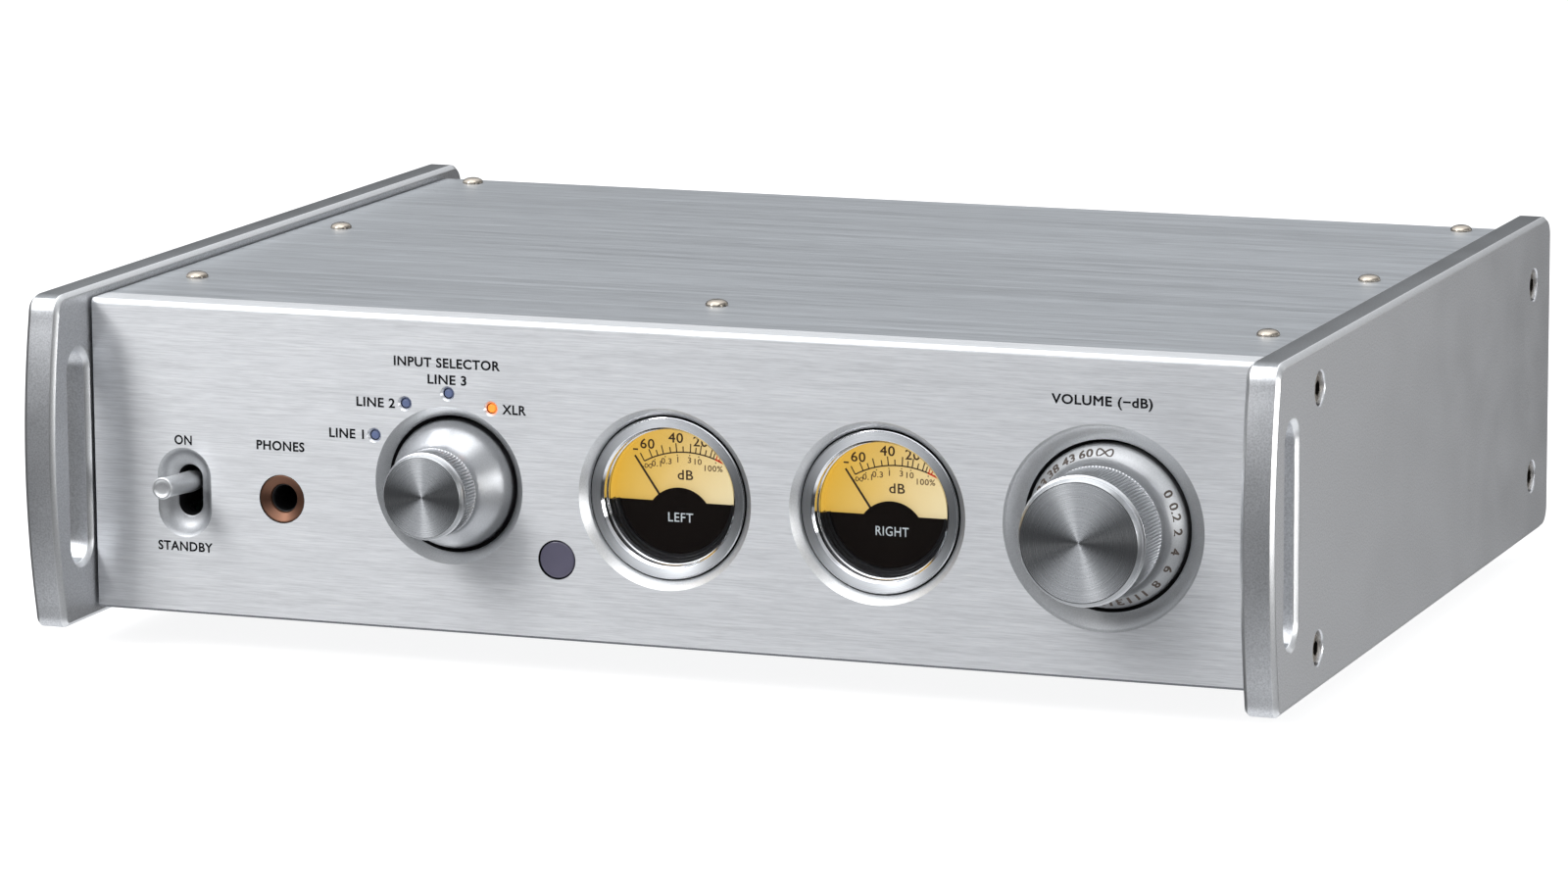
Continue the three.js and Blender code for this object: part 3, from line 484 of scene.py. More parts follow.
class Paint(Nodes):
    """A principled material and the nodes that give it its detail."""

    def __init__(self, name, colour, roughness, metallic=0.0):
        self.material = bpy.data.materials.new(name)
        self.material.use_nodes = True
        super().__init__(self.material.node_tree)
        self.colour = colour
        self.put({"Base Color": (*colour, 1), "Roughness": roughness, "Metallic": metallic})

    def put(self, values):
        self.feed(self.tree.nodes["Principled BSDF"], values)

    def noise(self, scale, stretch=(1, 1, 1), detail=2.0, roughness=0.55):
        """Noise whose grain is 1 / scale metres, longer along the axes whose stretch is small."""
        where = self.node("TexCoord").outputs["Object"]
        mapped = self.node("Mapping", {"Vector": where, "Scale": stretch}).outputs["Vector"]
        values = {"Vector": mapped, "Scale": scale, "Detail": detail, "Roughness": roughness}
        return self.node("TexNoise", values).outputs["Fac"]

    def ring_noise(self, count):
        """Noise that only changes with the distance from the y axis of the piece's own box."""
        centred = self.vector("SUBTRACT", self.node("TexCoord").outputs["Generated"], (0.5, 0.5, 0.5))[0]
        size = self.vector("LENGTH", self.vector("MULTIPLY", centred, (1, 0, 1))[0])["Value"]
        values = {"W": size, "Scale": count, "Detail": 1.0}
        return self.node("TexNoise", values, noise_dimensions="1D").outputs["Fac"]

    def tint(self, factor, dark, light):
        """Colour between two strengths of the base colour, as the factor says."""
        tones = [(*[c * strength for c in self.colour], 1) for strength in (dark, light)]
        self.put({"Base Color": self.mixed(self.between(factor, 0, 1), *tones)})

    def gloss(self, factor, low, high):
        self.put({"Roughness": self.between(factor, low, high)})

    def bump(self, factor, height, strength):
        made = self.node("Bump", {"Height": factor, "Distance": height, "Strength": strength})
        self.put({"Normal": made.outputs["Normal"]})

    def spread(self, amount, direction):
        """Reflections drawn out along a fixed direction, across the brushing."""
        fixed = self.node("CombineXYZ", dict(enumerate(direction)))
        self.put({"Anisotropic": amount, "Tangent": fixed.outputs[0]})

    def spun(self, amount):
        """Reflections drawn out across the turning marks round the y axis."""
        tangent = self.node("Tangent", direction_type="RADIAL", axis="Y")
        self.put({"Anisotropic": amount, "Anisotropic Rotation": 0.25, "Tangent": tangent.outputs[0]})


SILVER = (0.90, 0.91, 0.93)
COOL_SILVER = (0.62, 0.645, 0.67)
BLASTED_SILVER = (0.74, 0.75, 0.77)


def brushed(name, colour, roughness, direction, amount=0.8, grain=3400, streaks=0.15, depth=0.14):
    """Aluminium brushed along x; its reflections spread along the given direction."""
    paint = Paint(name, colour, roughness, 1.0)
    fine = paint.noise(grain, (0.04, 1, 1), 2.0, 0.7)
    broad = paint.noise(grain / 5, (0.02, 1, 1), 5.0, 0.75)
    part = paint.math("MULTIPLY", fine, 1 - streaks)
    marks = paint.math("ADD", part, paint.math("MULTIPLY", broad, streaks))
    paint.tint(marks, 1 - depth, 1 + 0.8 * depth)
    paint.gloss(broad, roughness - 0.01, roughness + 0.02)
    paint.bump(fine, 0.000004, 0.5)
    paint.spread(amount, direction)
    return paint.material


def blasted(name, colour=BLASTED_SILVER, roughness=0.42):
    """Bead-blasted and anodised aluminium, with its fine sparkling grain."""
    paint = Paint(name, colour, roughness, 1.0)
    grain = paint.noise(2600, detail=1.0)
    cloud = paint.noise(60, detail=2.0)
    paint.tint(grain, 0.86, 1.12)
    paint.gloss(cloud, roughness - 0.02, roughness + 0.03)
    paint.bump(grain, 0.00002, 0.5)
    return paint.material


def spun(name, colour, roughness, amount=0.9, rings=260):
    """A turned face, with fine rings round its axis."""
    paint = Paint(name, colour, roughness, 1.0)
    marks = paint.ring_noise(rings)
    paint.tint(marks, 0.9, 1.06)
    paint.gloss(marks, roughness - 0.03, roughness + 0.05)
    paint.spun(amount)
    return paint.material


def satin(name, colour, roughness=0.34):
    """Turned aluminium with a fine matt finish."""
    paint = Paint(name, colour, roughness, 1.0)
    grain = paint.noise(3200, detail=1.0)
    paint.tint(grain, 0.93, 1.05)
    paint.bump(grain, 0.000008, 0.4)
    return paint.material


def polished(name, colour, roughness):
    """Plated or polished metal, with faint marks of handling."""
    paint = Paint(name, colour, roughness, 1.0)
    cloud = paint.noise(90, detail=3.0)
    paint.tint(cloud, 0.95, 1.04)
    paint.gloss(cloud, roughness * 0.7, roughness * 1.4)
    return paint.material


def moulded(name, colour, roughness=0.42, grain=1400, depth=0.00001):
    """Plastic or paint with a fine eggshell surface."""
    paint = Paint(name, colour, roughness)
    skin = paint.noise(grain, detail=2.0)
    cloud = paint.noise(70, detail=2.0)
    paint.tint(cloud, 0.85, 1.15)
    paint.gloss(skin, roughness - 0.05, roughness + 0.07)
    paint.bump(skin, depth, 0.5)
    return paint.material


def lamp(name, colour, glow):
    """A light guide: a clear tinted tip that glows when its input is chosen, and faintly, as painted light,
    when not.
    """
    paint = Paint(name, colour, 0.3)
    paint.tint(paint.noise(900, detail=1.0), 0.85, 1.1)
    paint.put({"Emission Color": (*colour, 1), "Emission Strength": glow})
    return paint.material


DIAL_TONES = [(0.12, (0.88, 0.50, 0.015)), (0.5, (0.86, 0.58, 0.16)), (0.95, (0.96, 0.82, 0.50))]


def dial_face(name):
    """The lit dial plate: deep amber at its left, pale cream at its right, and painted shade deepening its
    top.
    """
    paint = Paint(name, (0.85, 0.62, 0.16), 0.55)
    parts = paint.node("SeparateXYZ", {0: paint.node("TexCoord").outputs["Generated"]}).outputs
    across = paint.math("MULTIPLY", parts["X"], 0.85)
    # Painted shade: the plate's colour and glow turn deeper amber towards its top.
    shaded_top = paint.math("MULTIPLY", paint.math("SUBTRACT", 1.0, parts["Z"]), 0.35)
    cloud = paint.math("MULTIPLY", paint.noise(160, detail=2.0), 0.08)
    position = paint.math("ADD", paint.math("ADD", across, shaded_top), cloud)
    tone = paint.ramp(position, DIAL_TONES)
    glow = {"Emission Color": tone, "Emission Strength": 0.68}
    paint.put({"Base Color": paint.scaled(tone, 0.3), "Specular IOR Level": 0.2, **glow})
    return paint.material


def clear_glass(name):
    """Thin clear glass: it shows as faint reflections only."""
    paint = Paint(name, (0.01, 0.01, 0.012), 0.03)
    paint.gloss(paint.noise(60, detail=2.0), 0.02, 0.05)
    paint.put({"Alpha": 0.05, "IOR": 1.5})
    return paint.material


def printed(name, colour, roughness=0.5, specular=0.5):
    """Screen-printed ink."""
    paint = Paint(name, colour, roughness)
    paint.tint(paint.noise(1800, detail=2.0), 0.85, 1.15)
    paint.put({"Specular IOR Level": specular})
    return paint.material


def circuit_board(name):
    """Green solder resist with a faint pattern of tracks."""
    paint = Paint(name, (0.02, 0.12, 0.05), 0.4)
    tracks = paint.noise(260, (1, 0.2, 1), 1.0)
    paint.tint(tracks, 0.7, 1.5)
    paint.bump(tracks, 0.00003, 0.4)
    return paint.material


def winding(name):
    """Lacquered copper wire laid round a ring core."""
    paint = Paint(name, (0.62, 0.26, 0.07), 0.35, 0.6)
    turns = paint.noise(900, (1, 1, 0.05), 1.0)
    paint.tint(turns, 0.6, 1.3)
    paint.bump(turns, 0.00015, 0.8)
    return paint.material


MATERIALS = {
    "front": (brushed, SILVER, 0.42, (0, 0, 1)),
    "cover": (brushed, COOL_SILVER, 0.31, (0, 1, 0), 0.5, 1700, 0.5, 0.3),
    # panel_top: a darker copy of the front's brushed aluminium for upward faces, painted shade.
    "panel_top": (brushed, (0.70, 0.71, 0.72), 0.38, (0, 1, 0), 0.7),
    # lower_edge: dark satin on the front panel's lower chamfer and underside, painted shade.
    "lower_edge": (satin, (0.20, 0.205, 0.22), 0.5),
    "blasted": (blasted,),
    # blasted_top: a dark copy of the blasted aluminium for the side panels' tops, painted shade.
    "blasted_top": (blasted, (0.30, 0.31, 0.32), 0.34),
    "dish": (satin, (0.84, 0.85, 0.86), 0.40),
    "lever_dish": (satin, (0.59, 0.60, 0.615), 0.5),
    "bezel_face": (spun, (0.92, 0.94, 0.97), 0.44, 0.8),
    "knob": (satin, (0.64, 0.65, 0.665), 0.34),
    # knob_edge: a darker copy of the knob's satin for its front bevel, painted shade that dims its
    # highlight.
    "knob_edge": (satin, (0.42, 0.43, 0.44), 0.3),
    "skirt": (satin, (0.60, 0.61, 0.62), 0.5),
    "lever": (satin, (0.84, 0.85, 0.86), 0.45),
    "knob_face": (spun, (0.86, 0.88, 0.91), 0.29, 0.95),
    "cut_edge": (satin, (0.86, 0.87, 0.88), 0.38),
    "chrome": (polished, (0.86, 0.87, 0.89), 0.07),
    "nickel": (polished, (0.46, 0.41, 0.35), 0.2),
    # recess: near-black satin in the hexagon and cross recesses of the nickel heads, painted shade.
    "recess": (satin, (0.055, 0.048, 0.04), 0.45),
    "copper": (spun, (0.26, 0.135, 0.09), 0.5, 0.5, 120),
    "steel": (satin, (0.62, 0.62, 0.63), 0.28),
    "sheet": (satin, (0.42, 0.43, 0.45), 0.5),
    "shadow": (moulded, (0.006, 0.006, 0.007), 0.7),
    "rear": (moulded, (0.018, 0.018, 0.02), 0.45, 1600, 0.00002),
    "black_plastic": (moulded, (0.012, 0.012, 0.013), 0.38),
    "gloss_black": (moulded, (0.004, 0.004, 0.004), 0.16, 300, 0.000002),
    "mask_black": (printed, (0.006, 0.004, 0.003), 0.3, 0.15),
    "mask_rim": (satin, (0.10, 0.10, 0.105), 0.3),
    "red_plastic": (moulded, (0.42, 0.012, 0.014), 0.34),
    "white_plastic": (moulded, (0.75, 0.75, 0.74), 0.4),
    "black_metal": (moulded, (0.02, 0.02, 0.022), 0.4, 1800, 0.00001),
    "gold": (polished, (0.86, 0.60, 0.24), 0.18),
    "dial": (dial_face,),
    "glass": (clear_glass,),
    "needle": (moulded, (0.03, 0.014, 0.008), 0.5),
    # lamp_off: the unlit guides glow faintly, painted light that brightens them.
    "lamp_off": (lamp, (0.09, 0.115, 0.21), 0.4),
    "lamp_on": (lamp, (1.0, 0.24, 0.03), 0.85),
    "window": (moulded, (0.085, 0.08, 0.115), 0.16, 200, 0.000002),
    "black_ink": (printed, (0.006, 0.006, 0.008), 0.5, 0.15),
    "dial_ink": (printed, (0.05, 0.024, 0.01)),
    "faint_ink": (printed, (0.12, 0.06, 0.02)),
    "red_ink": (printed, (0.75, 0.05, 0.01)),
    "white_ink": (printed, (0.75, 0.76, 0.78)),
    "mask_ink": (printed, (0.55, 0.60, 0.63)),
    "skirt_ink": (printed, (0.07, 0.052, 0.042)),
    "rubber": (moulded, (0.015, 0.015, 0.015), 0.8, 900, 0.00005),
    "board": (circuit_board,),
    "winding": (winding,),
}
M = {name: make(name, *values) for name, (make, *values) in MATERIALS.items()}


# ------------------------------------------------------------------ front panel

PANEL_LOW, PANEL_HIGH = [point.z - CONTROL_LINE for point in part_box("front_panel")]
PANEL_LOW, PANEL_HIGH = PANEL_LOW / MM, PANEL_HIGH / MM
PANEL_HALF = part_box("front_panel")[1].x / MM
PANEL_DEPTH = 8.0
TOP_RADIUS = 1.2
LOWER_CHAMFER = 0.6
# The tapped bosses behind the panel's ends.
BOSS_X = (122, 133.1)
BOSS_DEPTH = (PANEL_DEPTH - 0.5, 20)
BOSS_Z = (-29.7, 35.3)

# Recesses of the front panel: points of (radius, depth) from the face inwards.
SELECTOR_DISH = [(17.65, 0), (15.32, 2.6), (15.32, 5.5)]
VOLUME_DISH = [(22.6, 0), (22.1, 0.55), (18.73, 3.1), (18.73, 6.2)]
METER_DISH = [(20.2, 0), (18.3, 2.3), (18.3, PANEL_DEPTH)]
LAMP_HOLE = [(1.68, 0), (1.15, 0.6), (1.15, PANEL_DEPTH)]
WINDOW_HOLE = [(4.42, 0), (4.42, PANEL_DEPTH)]
JACK_HOLE = [(5.5, 0), (5.5, PANEL_DEPTH)]
# The lever's recess is a capsule: (radius, half span, depth).
LEVER_DISH = [
    (6.6, 3.6, 0), (6.35, 3.6, 0.12), (5.75, 3.6, 0.85), (5.3, 3.6, 1.6), (4.6, 3.5, 2.3), (3.8, 3.3, 2.8),
    (3.15, 3.0, 3.0), (2.95, 2.9, 3.25), (2.95, 2.9, PANEL_DEPTH),
]
LAMPS = ("line_1", "line_2", "line_3", "balanced")


def local_front(node):
    """A node's centre in the front panel's local x and z."""
    middle = centre_of(node)
    return (middle.x / MM, (middle.z - CONTROL_LINE) / MM)


def lever_joint():
    return next(each for each in frame["joints"] if each["name"] == "lever_tilt")


def lever_centre():
    x, _, z = lever_joint()["pos_m"]
    return (x / MM, (z - CONTROL_LINE) / MM)


def panel_ring(depth):
    """The panel's outline at a depth: its top edge is round, its lower edge has a small chamfer."""
    inside = max(TOP_RADIUS - depth, 0)
    top = PANEL_HIGH - TOP_RADIUS + math.sqrt(TOP_RADIUS**2 - inside**2)
    low = PANEL_LOW + max(LOWER_CHAMFER - depth, 0)
    return rectangle((-PANEL_HALF, PANEL_HALF), (low, top), depth)


def front_panel():
    shape = Shape(front_place())
    steps = [TOP_RADIUS * (1 - math.cos(math.pi / 2 * k / 10)) for k in range(11)]
    outer = shape.chain([panel_ring(depth) for depth in sorted({*steps, LOWER_CHAMFER, PANEL_DEPTH})])
    open_front, open_back = [], []

    def round_hole(profile, node, count, dish=2, through=True):
        """A hole whose dished mouth has one material and whose bore is painted black as shadow."""
        points = eased(profile, 0.15, 2)
        numbers = [dish if depth < profile[-2][1] - 0.05 else 1 for _, depth in points]
        placed = shape.chain([circle(r, y, local_front(node), count) for r, y in points], numbers)
        open_front.append(placed[0])
        if through:
            open_back.append(placed[-1])
        else:
            shape.fill(placed[-1], number=1)

    round_hole(SELECTOR_DISH, "selector_knob", 160, through=False)
    round_hole(VOLUME_DISH, "volume_knob", 192, through=False)
    for side in SIDES:
        round_hole(METER_DISH, f"meter_{side}_bezel", 160)
    for name in LAMPS:
        round_hole(LAMP_HOLE, f"lamp_{name}", 40)
    round_hole(WINDOW_HOLE, "remote_window", 64, dish=1)
    round_hole(JACK_HOLE, "phones_collar", 64, dish=1)
    # The lever recess's bore also takes the painted shadow.
    lever = [capsule(r, span, y, lever_centre(), 28) for r, span, y in LEVER_DISH]
    placed = shape.chain(lever, [3] * (len(lever) - 2) + [1])
    shape.fill(outer[0], [*open_front, placed[0]])
    shape.fill(outer[-1], [*open_back, placed[-1]])
    for side in (-1, 1):
        block(shape, sorted((side * BOSS_X[0], side * BOSS_X[1])), BOSS_DEPTH, BOSS_Z)
    mesh = shape.mesh("front_panel_finished")
    # Upward faces take a darker copy of the brushed aluminium, painted shade.
    for face in mesh.polygons:
        if face.material_index == 0 and face.normal.z > 0.95:
            face.material_index = 4
        # Downward faces take a dark satin: painted shade along the panel's lower edge.
        elif face.material_index == 0 and face.normal.z < -0.3:
            face.material_index = 5
    materials = ["front", "shadow", "dish", "lever_dish", "panel_top", "lower_edge"]
    finished("front_panel", mesh, materials, sharp=25)


FRONT_CAPITALS = 2.0
FRONT_WORDS = [
    # text, width, x, z above the knobs' line
    ("INPUT SELECTOR", 25.4, -50.25, 27.4),
    ("LINE 3", 9.3, -50.25, 23.7),
    ("LINE 2", 9.3, -67.5, 17.75),
    ("LINE 1", 8.4, -74.7, 10.35),
    ("XLR", 5.7, -34.3, 17.85),
    ("ON", 4.3, -114.85, 6.5),
    ("STANDBY", 13.5, -114.85, -17.75),
    ("PHONES", 11.7, -90.9, 6.55),
    ("VOLUME (\u2212dB)", 22.6, 101.1, 27.55),
]


def front_lettering():
    shape = Shape(front_place())
    for text, width, x, z in FRONT_WORDS:
        write(shape, text, FRONT_CAPITALS, (x, z), 0, width, weight=0.024)
    piece("front_lettering", shape, ["black_ink"], sharp=20)


# ------------------------------------------------------------------ knobs

SPINDLE_BORE = 3.3
BORE_END = -9
KNURL_DEPTH = 0.32

# The volume knob's pattern: (radius, depth, easing) from the middle of its face to its back edge.
VOLUME_PROFILE = [
    (0, -16.72), (12.85, -16.72, 0.05), (13.1, -16.75, 0.1), (13.85, -15.55, 0.25), (13.9, -15.1, 0.1),
    (13.62, -14.95, 0.05), (13.62, -14.8, 0.05), (14.2, -14.6, 0.1), (14.2, -3.2, 0.2), (14.5, -1.2, 0.8),
    (15.4, 0.3, 0.8), (17.6, 2.3, 0.3), (17.93, 2.9, 0.2), (17.93, 5.6, 0.2), (3.3, 5.6),
]
SELECTOR_PROFILE = [
    (0, -14.97), (8.85, -14.97, 0.05), (9.0, -15.0, 0.1), (9.55, -13.95, 0.2), (9.55, -13.75, 0.1),
    (9.32, -13.6, 0.05), (9.32, -13.5, 0.05), (9.75, -13.3, 0.1), (9.75, -7.3, 0.3), (10.05, -5.9, 0.8),
    (11.7, -3.2, 1.2), (13.5, -0.4, 1.2), (14.4, 2.0, 0.8), (14.53, 2.9, 0.3), (14.53, 4.9, 0.2), (3.3, 4.9),
]


def knurl(radius, start, end, teeth, depth):
    """Straight teeth between two depths on a cylinder of that radius."""

    def ripple(r, y, angle):
        inside = start < y < end and abs(r - radius) < 0.12
        return r - depth * (0.5 - 0.5 * math.cos(teeth * angle)) if inside else r

    return ripple


def knob(node, profile, band, teeth, body):
    """A knob with a knurled band of (radius, start, end) and a blind bore for its spindle."""
    radius, start, end = band
    points = eased(profile, 0.15, 3)
    made = []
    for point, after in zip(points, points[1:]):
        made.append(point)
        if abs(point[0] - radius) < 0.02 and abs(after[0] - radius) < 0.02 and after[1] - point[1] > 1:
            made.extend([(radius, start), (radius, start + 0.12), (radius, end - 0.12), (radius, end)])
    made.extend([points[-1], (SPINDLE_BORE, points[-1][1]), (SPINDLE_BORE, BORE_END), (0, BORE_END)])
    face_edge = profile[1][0]

    def number(first, second):
        if max(first[0], second[0]) <= face_edge + 0.02 and first[1] < profile[0][1] + 0.05:
            return 1
        # The front bevel takes the darker satin, painted shade.
        if first[1] < profile[2][1] + 0.1:
            return 2
        return 3 if min(first[1], second[1]) > -0.1 and first[0] > 14.9 else 0

    ripple = knurl(radius, start + 0.01, end - 0.01, teeth, KNURL_DEPTH)
    shape = turned(made, front_place(node), count=4 * teeth, number=number, ripple=ripple)
    finished(node, shape, ["knob", "knob_face", "knob_edge", "skirt"], body, 40)


SKIRT_MIDDLE = 16.3
SKIRT_SLOPE = Vector((2.2, 2.0)).normalized()
SKIRT_START = Vector((15.4, 0.3))
# Numbers on the volume knob's skirt, clockwise from the top in degrees.
SKIRT_NUMBERS = {
    "60": -15, "43": -30, "38": -45, "33": -60, "30": -75, "27": -90, "24": -105, "22": -120, "20": -135,
    "18": -150, "16": -165, "15": 180, "13": 165, "11": 150, "8": 135, "6": 120, "4": 105, "2": 90,
    "0.2": 74.5, "0": 60,
}
NUMBER_WIDTHS = {1: 1.55, 2: 3.3, 3: 4.0}  # by the count of characters


def on_skirt(degrees):
    """Where a flat mark lands when it is laid on the skirt's cone at an angle."""

    def where(u, v, rise):
        along = (SKIRT_MIDDLE - SKIRT_START.x) / SKIRT_SLOPE.x + v
        radius = SKIRT_START.x + along * SKIRT_SLOPE.x + rise * SKIRT_SLOPE.y
        depth = SKIRT_START.y + along * SKIRT_SLOPE.y - rise * SKIRT_SLOPE.x
        angle = math.radians(degrees) + u / SKIRT_MIDDLE
        return (radius * math.sin(angle), depth, radius * math.cos(angle))

    return where


def skirt_numbers():
    shape = Shape(front_place("volume_knob"))
    for text, degrees in SKIRT_NUMBERS.items():
        points, faces = fitted(text, 1.95, 2.4 if text == "11" else NUMBER_WIDTHS[len(text)], 0.03)
        ink(shape, points, faces, on_skirt(degrees))
    points, faces = endless(1.8, 3.6, 0.38)
    ink(shape, points, faces, on_skirt(0))
    piece("volume_numbers", shape, ["skirt_ink"], "volume_dial", sharp=20)


def knobs():
    knob("volume_knob", VOLUME_PROFILE, (14.2, -14.3, -3.5), 116, "volume_dial")
    knob("selector_knob", SELECTOR_PROFILE, (9.75, -13.0, -7.6), 80, "selector_dial")
    skirt_numbers()


# ------------------------------------------------------------------ lever, headphone socket, lamps, window

LEVER_TILT = -3.8
LEVER_TIP = -44.7
LEVER_PROFILE = [
    (0, LEVER_TIP + 0.35), (1.5, LEVER_TIP + 0.25, 0.4), (1.95, LEVER_TIP, 0.1), (2.3, LEVER_TIP, 0.1),
    (2.45, LEVER_TIP + 0.25, 0.1), (2.45, LEVER_TIP + 1.35, 0.1), (2.28, LEVER_TIP + 1.5, 0.1),
    (2.3, LEVER_TIP + 9, 0.5), (2.42, LEVER_TIP + 15, 0.5), (2, LEVER_TIP + 19, 0.5), (1.7, -1), (0, -1),
]


def power_lever():
    tilt = Matrix.Rotation(math.radians(LEVER_TILT), 3, "X")
    shape = turned(eased(LEVER_PROFILE, 0.2), lever_joint()["pos_m"], tilt)
    shape.turn = tilt @ RIGHT
    eye = eased([(1.5, -2.6), (3.6, -2.6), (3.6, 2.6), (1.5, 2.6)], 0.3)
    lathe(shape, [*eye, eye[0]], count=48)
    finished("power_lever", shape, ["lever"], "lever", 35)


def headphone_socket():
    place = front_place("phones_collar")
    collar = eased([
        (3.25, 3), (3.25, 1.15), (3.45, 0.95), (4.95, 0.1, 0.1), (5.2, 0.05, 0.1), (5.37, 0.2, 0.1),
        (5.37, 3),
    ], 0.08)
    ring = turned([*collar, collar[0]], place, count=96)
    finished("phones_collar", ring, ["copper"], sharp=40)
    shape = Shape(place)
    mouth = eased([
        (5.17, 8.3), (5.17, 3.3), (3.2, 3.3, 0.0), (3.2, 1.7, 0.15), (2.95, 1.7, 0.15), (2.8, 2.4, 0.2),
        (3.2, 4.5, 0.4), (3.2, 34),
    ], 0.1)
    bore = shape.chain([circle(radius, depth, count=64) for radius, depth in mouth])
    body = shape.chain([rounded_box(16, 16, 0.8, depth) for depth in (8.3, 34)])
    shape.plate(body, [bore])
    finished("phones_jack", shape, ["black_plastic"], sharp=40)


def lamps():
    profile = eased([(0, 0.4), (0.7, 0.45, 0.2), (1.0, 0.7, 0.2), (1.0, 29.6, 0.1), (0, 29.6)], 0.1)
    for name in LAMPS:
        node = f"lamp_{name}"
        material, slot = ("lamp_on", "lamp_lit") if name == "balanced" else ("lamp_off", "lamp_unlit")
        finished(node, turned(profile, front_place(node), count=32), [material])


def remote_window():
    profile = eased([(0, 0.02), (3.9, 0.1, 0.4), (4.16, 0.4, 0.15), (4.16, 3), (0, 3)], 0.1)
    finished("remote_window", turned(profile, front_place("remote_window")), ["window"])


# ------------------------------------------------------------------ meters

DIAL_DEPTH = 8.1
WALL = 14.9
HORIZON = -1.6
HUMP = (0.8, -6.3, 7.85)
# The stepped rim of the mask: points of (radius, depth).
MASK_RIM = [
    (14.86, 6.75), (14.86, 5.1), (14.55, 5.1), (14.35, 5.65), (13.95, 5.7), (13.75, 6.2), (13.3, 6.25),
    (13.15, 6.75),
]
MASK_FACE, MASK_BACK = 6.7, 7.0
NEEDLE_PIVOT = (0, -6.4)
NEEDLE_REST = -34.3
SCALE_CENTRE = (1.9, -10.95)
SCALE_RADIUS = 20.2
SCALE_ENDS = (-28.9, 28.5)
RED_FROM = 19.9
LONG_TICKS = (-28.9, -23.1, -15.0, -6.0, 3.0, 9.5, 16.4, 20.5)
SHORT_TICKS = (-19.0, -10.1, -1.7, 6.5, 13.0, 18.6, 22.5, 25.0, 28.3)
DECIBELS = {"60": (-7.15, 10.65), "40": (-0.45, 12.35), "20": (5.35, 11.8)}
PERCENT = {
    "0.1": (-5.05, 6.35), "0.3": (-2.7, 7.05), "1": (0.0, 7.55), "3": (2.75, 7.55), "10": (4.75, 7.3),
    "100%": (8.4, 6.0),
}


def bezel(side):
    node = f"meter_{side}_bezel"
    ring = eased([
        (18, 5), (18, 1.95, 0.08), (17.78, 1.85, 0.05), (17.7, 1.6, 0.06), (15.75, 1.9, 0.08),
        (15.45, 2.25, 0.06), (15.2, 2.5, 0.05), (15.2, 4.1, 0.05), (14.9, 4.3, 0.05), (14.9, 5, 0.05),
    ], 0.1, 3)

    def number(first, second):
        return 1 if first[0] > second[0] + 1 and second[1] < 2 else 0

    shape = turned([*ring, ring[0]], front_place(node), count=160, number=number)
    finished(node, shape, ["chrome", "bezel_face"], sharp=30)


def meter_glass(side):
    node = f"meter_{side}_glass"
    disc = eased([(0, 2.6), (15.08, 2.6), (15.08, 3.6), (0, 3.6)], 0.1)
    finished(node, turned(disc, front_place(node), count=96), ["glass"], sharp=30)


def on_arc(degrees, radius):
    angle = math.radians(degrees)
    return (SCALE_CENTRE[0] + radius * math.sin(angle), SCALE_CENTRE[1] + radius * math.cos(angle))


def dial_marks(shape):
    """The scale of the dial: an arc with ticks, numbers over it and a second row of numbers under it."""

    def flat(u, v, rise):
        return (u, DIAL_DEPTH - rise, v)

    def arc(start, end, number):
        steps = 24
        points = [on_arc(start + (end - start) * k / steps, SCALE_RADIUS) for k in range(steps + 1)]
        ink(shape, *stroke(points, 0.3 if number == 1 else 0.42), flat, number)

    arc(SCALE_ENDS[0], RED_FROM, 1)
    arc(RED_FROM, SCALE_ENDS[1], 2)
    for degrees in LONG_TICKS + SHORT_TICKS:
        length = 2.0 if degrees in LONG_TICKS else 1.3
        line = [on_arc(degrees, SCALE_RADIUS), on_arc(degrees, SCALE_RADIUS + length)]
        ink(shape, *stroke(line, 0.26), flat, 2 if degrees >= RED_FROM else 1)
    for text, (x, z) in DECIBELS.items():
        write(shape, text, 2.1, (x, z), DIAL_DEPTH, number=1)
    for text, (x, z) in PERCENT.items():
        write(shape, text, 1.25, (x, z), DIAL_DEPTH, number=4)
        degrees = math.degrees(math.atan2(x - SCALE_CENTRE[0], z - SCALE_CENTRE[1]))
        dot = [on_arc(degrees, SCALE_RADIUS - 0.75), on_arc(degrees, SCALE_RADIUS - 0.5)]
        ink(shape, *stroke(dot, 0.25), flat, 1)
    write(shape, "-", 2.1, (-9.95, 9.65), DIAL_DEPTH, 1.2, 1)
    write(shape, "dB", 2.1, (1.75, 4.2), DIAL_DEPTH, number=1)
    write(shape, "-", 1.2, (-8.25, 5.7), DIAL_DEPTH, 0.6, 4)
    points, faces = endless(0.9, 1.6, 0.18)
    ink(shape, [(u - 6.95, v + 5.75) for u, v in points], faces, flat, 4)


def movement(side):
    """The cup with the lit dial plate, its wall, and the magnet block behind it."""
    node = f"meter_{side}_movement"
    shape = Shape(front_place(f"meter_{side}_bezel"))
    profile = [(0, DIAL_DEPTH), (WALL, DIAL_DEPTH), (WALL, 5.3), (17.8, 5.3), (17.8, 12), (13, 14), (0, 14)]
    lathe(shape, profile[:2], count=120)
    lathe(shape, profile[1:], count=120, number=3)
    block(shape, (-11, 11), (14.2, 28), (-15, 9), 0.6, 3)
    dial_marks(shape)
    mesh = shape.mesh(f"{node}_finished")
    light_the_wall(mesh, side)
    materials = ["dial", "dial_ink", "red_ink", "gloss_black", "faint_ink"]
    finished(node, mesh, materials, sharp=30)


def light_the_wall(mesh, side):
    """The cup's wall above the mask's edge is lit like the dial."""
    axis = front_place(f"meter_{side}_bezel")
    for face in mesh.polygons:
        away = (face.center - axis) / MM
        radius = math.hypot(away.x, away.z)
        wall = abs(face.normal.y) < 0.5 and 5.4 < away.y < DIAL_DEPTH - 0.1 and abs(radius - WALL) < 0.4
        if wall and face.material_index == 3 and away.z > HORIZON:
            face.material_index = 0


